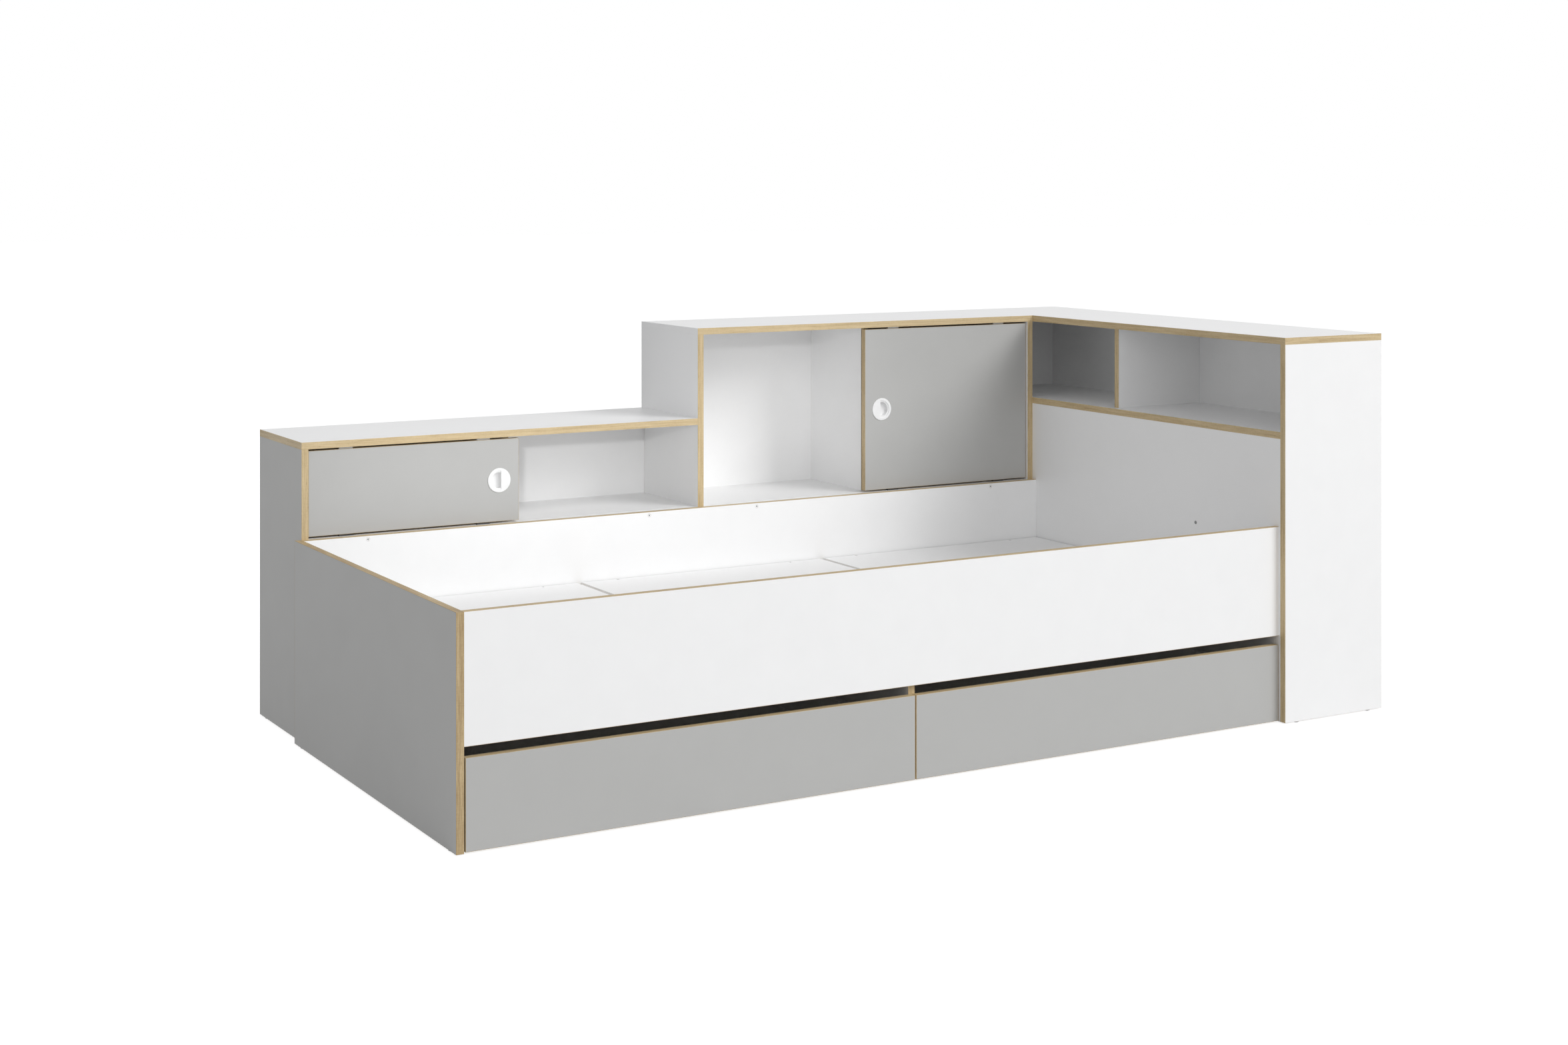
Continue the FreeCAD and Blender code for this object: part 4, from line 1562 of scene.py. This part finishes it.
@dataclass(frozen=True, kw_only=True)
class Lamp:
    """A lamp that faces a target.

    Attributes:
        name: The lamp's name.
        power: Its power in watts.
        target: The place that it faces, which is the middle of the bed if nothing else is said.
        way: The way from the target to the lamp.
        distance: How far away the lamp is.
    """

    name: str
    power: float
    target: tuple[float, ...] = MIDDLE
    way: tuple[float, float, float]
    distance: float

    def hang(self, data: bpy.types.Light) -> bpy.types.Object:
        """Hangs the lamp so that it faces its target.

        Args:
            data: The lamp's light.

        Returns:
            The lamp.
        """
        data.energy = self.power
        lamp = bpy.data.objects.new(self.name, data)
        back = Vector(self.way).normalized()
        lamp.location = Vector(self.target) + back * self.distance
        lamp.rotation_euler = back.to_track_quat("Z", "Y").to_euler()
        bpy.context.scene.collection.objects.link(lamp)
        return lamp


@dataclass(frozen=True, kw_only=True)
class Softbox(Lamp):
    """A square soft lamp.

    Attributes:
        size: The length of its side.
    """

    size: float

    def build(self) -> None:
        """Adds the lamp to the scene."""
        data = bpy.data.lights.new(self.name, "AREA")
        data.size = self.size
        self.hang(data)


@dataclass(frozen=True, kw_only=True)
class Spot(Lamp):
    """A spot lamp that lights a wide, low patch.

    Attributes:
        patch: The width and the height of the patch, with the target in its middle.
        blend: The share of the patch over which the light fades out.
        radius: The radius of the lamp.
    """

    patch: tuple[float, float]
    way: tuple[float, float, float] = (-0.42, -0.88, 0.20)
    distance: float = 6.5
    blend: float = 0.6
    radius: float = 0.16

    def build(self) -> None:
        """Adds the lamp to the scene."""
        width, height = self.patch
        data = bpy.data.lights.new(self.name, "SPOT")
        data.spot_blend, data.shadow_soft_size = self.blend, self.radius
        data.spot_size = 2 * math.atan2(height / 2, self.distance)
        self.hang(data).scale.x = width / height


@dataclass
class Studio:
    """The floor, light and camera.

    Attributes:
        camera_place: Where the camera stands.
        heading: How far the camera is turned from looking along +Y, in degrees.
        lens: The focal length in millimetres.
        sensor: The frame's width in millimetres.
        shift: How far the frame is shifted up, as a share of its width.
        lamps: The lamps.
        sky: The strength of the light from all round.
        sky_colour: The colour of that light.
        floor_size: The side of the floor.
        floor_colour: The colour of the floor as it lights the bed.
        floor_seen: The share of its light that the floor shows of itself.
        floor_glow: The light added to it where it is seen.
    """

    camera_place: tuple[float, float, float] = (-2.7392, -4.5243, 1.2639)
    heading: float = -30.247
    lens: float = 51.48
    sensor: float = 36.0
    shift: float = -0.2206
    lamps: tuple[Softbox | Spot, ...] = (
        Softbox(name="key", power=2245.0, way=(0.55, -0.75, 0.62), distance=20.0, size=9.7),
        Softbox(name="fill", power=24.5, way=(-0.55, -0.75, 0.40), distance=7.0, size=3.4),
        Softbox(name="front", power=38.0, way=(-0.10, -0.95, 0.30), distance=7.0, size=3.4),
        Spot(name="low_bay", power=450.0, target=(-0.66, 0.40, 0.59), patch=(1.15, 0.27)),
        Spot(name="high_bay", power=250.0, target=(0.13, 0.42, 0.70), patch=(0.62, 0.48)),
    )
    sky: float = 0.428
    sky_colour: Colour = (0.985, 0.99, 1.0)
    floor_size: float = 80.0
    floor_colour: Colour = (0.55, 0.55, 0.55)
    floor_seen: float = 0.5
    floor_glow: float = 0.83

    def build(self) -> None:
        """Makes the camera, the light and the floor."""
        bpy.context.scene.view_settings.view_transform = "Standard"
        self.add_camera()
        for lamp in self.lamps:
            lamp.build()
        self.add_sky()
        self.add_floor()

    def add_camera(self) -> None:
        """Adds the camera at the photograph's place and angle."""
        data = bpy.data.cameras.new("camera")
        data.lens = self.lens
        data.sensor_width = self.sensor
        data.shift_y = self.shift
        camera = bpy.data.objects.new("camera", data)
        camera.location = self.camera_place
        camera.rotation_euler = Euler((QUARTER_TURN, 0, math.radians(self.heading)))
        bpy.context.scene.collection.objects.link(camera)
        bpy.context.scene.camera = camera

    @staticmethod
    def seen(tree: NodeTree) -> Socket:
        """Tells where the camera, a reflection or a clear piece looks.

        Args:
            tree: The tree that asks.

        Returns:
            1 where one of them looks, and else 0.
        """
        path = tree.add("ShaderNodeLightPath").outputs
        both = tree.math("MAXIMUM", path["Is Camera Ray"], path["Is Glossy Ray"])
        return tree.math("MAXIMUM", both, path["Is Transmission Ray"])

    def add_sky(self) -> None:
        """Adds even light from all round, which is seen as plain white."""
        world = bpy.data.worlds.new("studio")
        world.use_nodes = True
        bpy.context.scene.world = world
        tree = NodeTree(world.node_tree)
        world.node_tree.nodes.clear()
        light, white = (
            tree.add("ShaderNodeBackground", {"Color": (*colour, 1.0), "Strength": strength}).outputs[0]
            for colour, strength in ((self.sky_colour, self.sky), ((1.0, 1.0, 1.0), 1.0))
        )
        mixed = tree.add("ShaderNodeMixShader", {0: self.seen(tree), 1: light, 2: white})
        tree.add("ShaderNodeOutputWorld", {0: mixed.outputs[0]})

    def add_floor(self) -> None:
        """Adds a pale floor, seen as white with the bed's shadow on it."""
        half = self.floor_size / 2
        corners = [(-half, -half, 0), (half, -half, 0), (half, half, 0), (-half, half, 0)]
        mesh = bpy.data.meshes.new("floor")
        mesh.from_pydata(corners, [], [(0, 1, 2, 3)])
        material = bpy.data.materials.new("pale_floor")
        material.use_nodes = True
        material.node_tree.nodes.clear()
        tree = NodeTree(material.node_tree)
        pale = tree.add("ShaderNodeBsdfDiffuse", {"Color": (*self.floor_colour, 1.0)})
        shown = tree.add("ShaderNodeBsdfDiffuse", {"Color": (*(self.floor_seen,) * 3, 1.0)})
        glow = tree.add("ShaderNodeEmission", {"Strength": self.floor_glow})
        both = tree.add("ShaderNodeAddShader", {0: shown.outputs[0], 1: glow.outputs[0]})
        mixed = tree.add("ShaderNodeMixShader", {0: self.seen(tree), 1: pale.outputs[0], 2: both.outputs[0]})
        tree.add("ShaderNodeOutputMaterial", {0: mixed.outputs[0]})
        mesh.materials.append(material)
        add_object("floor", mesh)


def main() -> None:
    """Builds the sub-assemblies in order, then the studio."""
    logging.basicConfig(level=logging.INFO, format="%(message)s")
    for part in (
        BedBox(band_seed=3), WallCabinets(band_seed=5), Bookcase(band_seed=7),
        SlidingDoor(band_seed=13, body="left_door"), SlidingDoor(band_seed=17, body="right_door"),
        Drawer(band_seed=19, body="left_drawer"), Drawer(band_seed=23, body="right_drawer"),
        Glides("floor_glides", BED), Studio(),
    ):
        part.build()


if __name__ == "__main__":
    main()
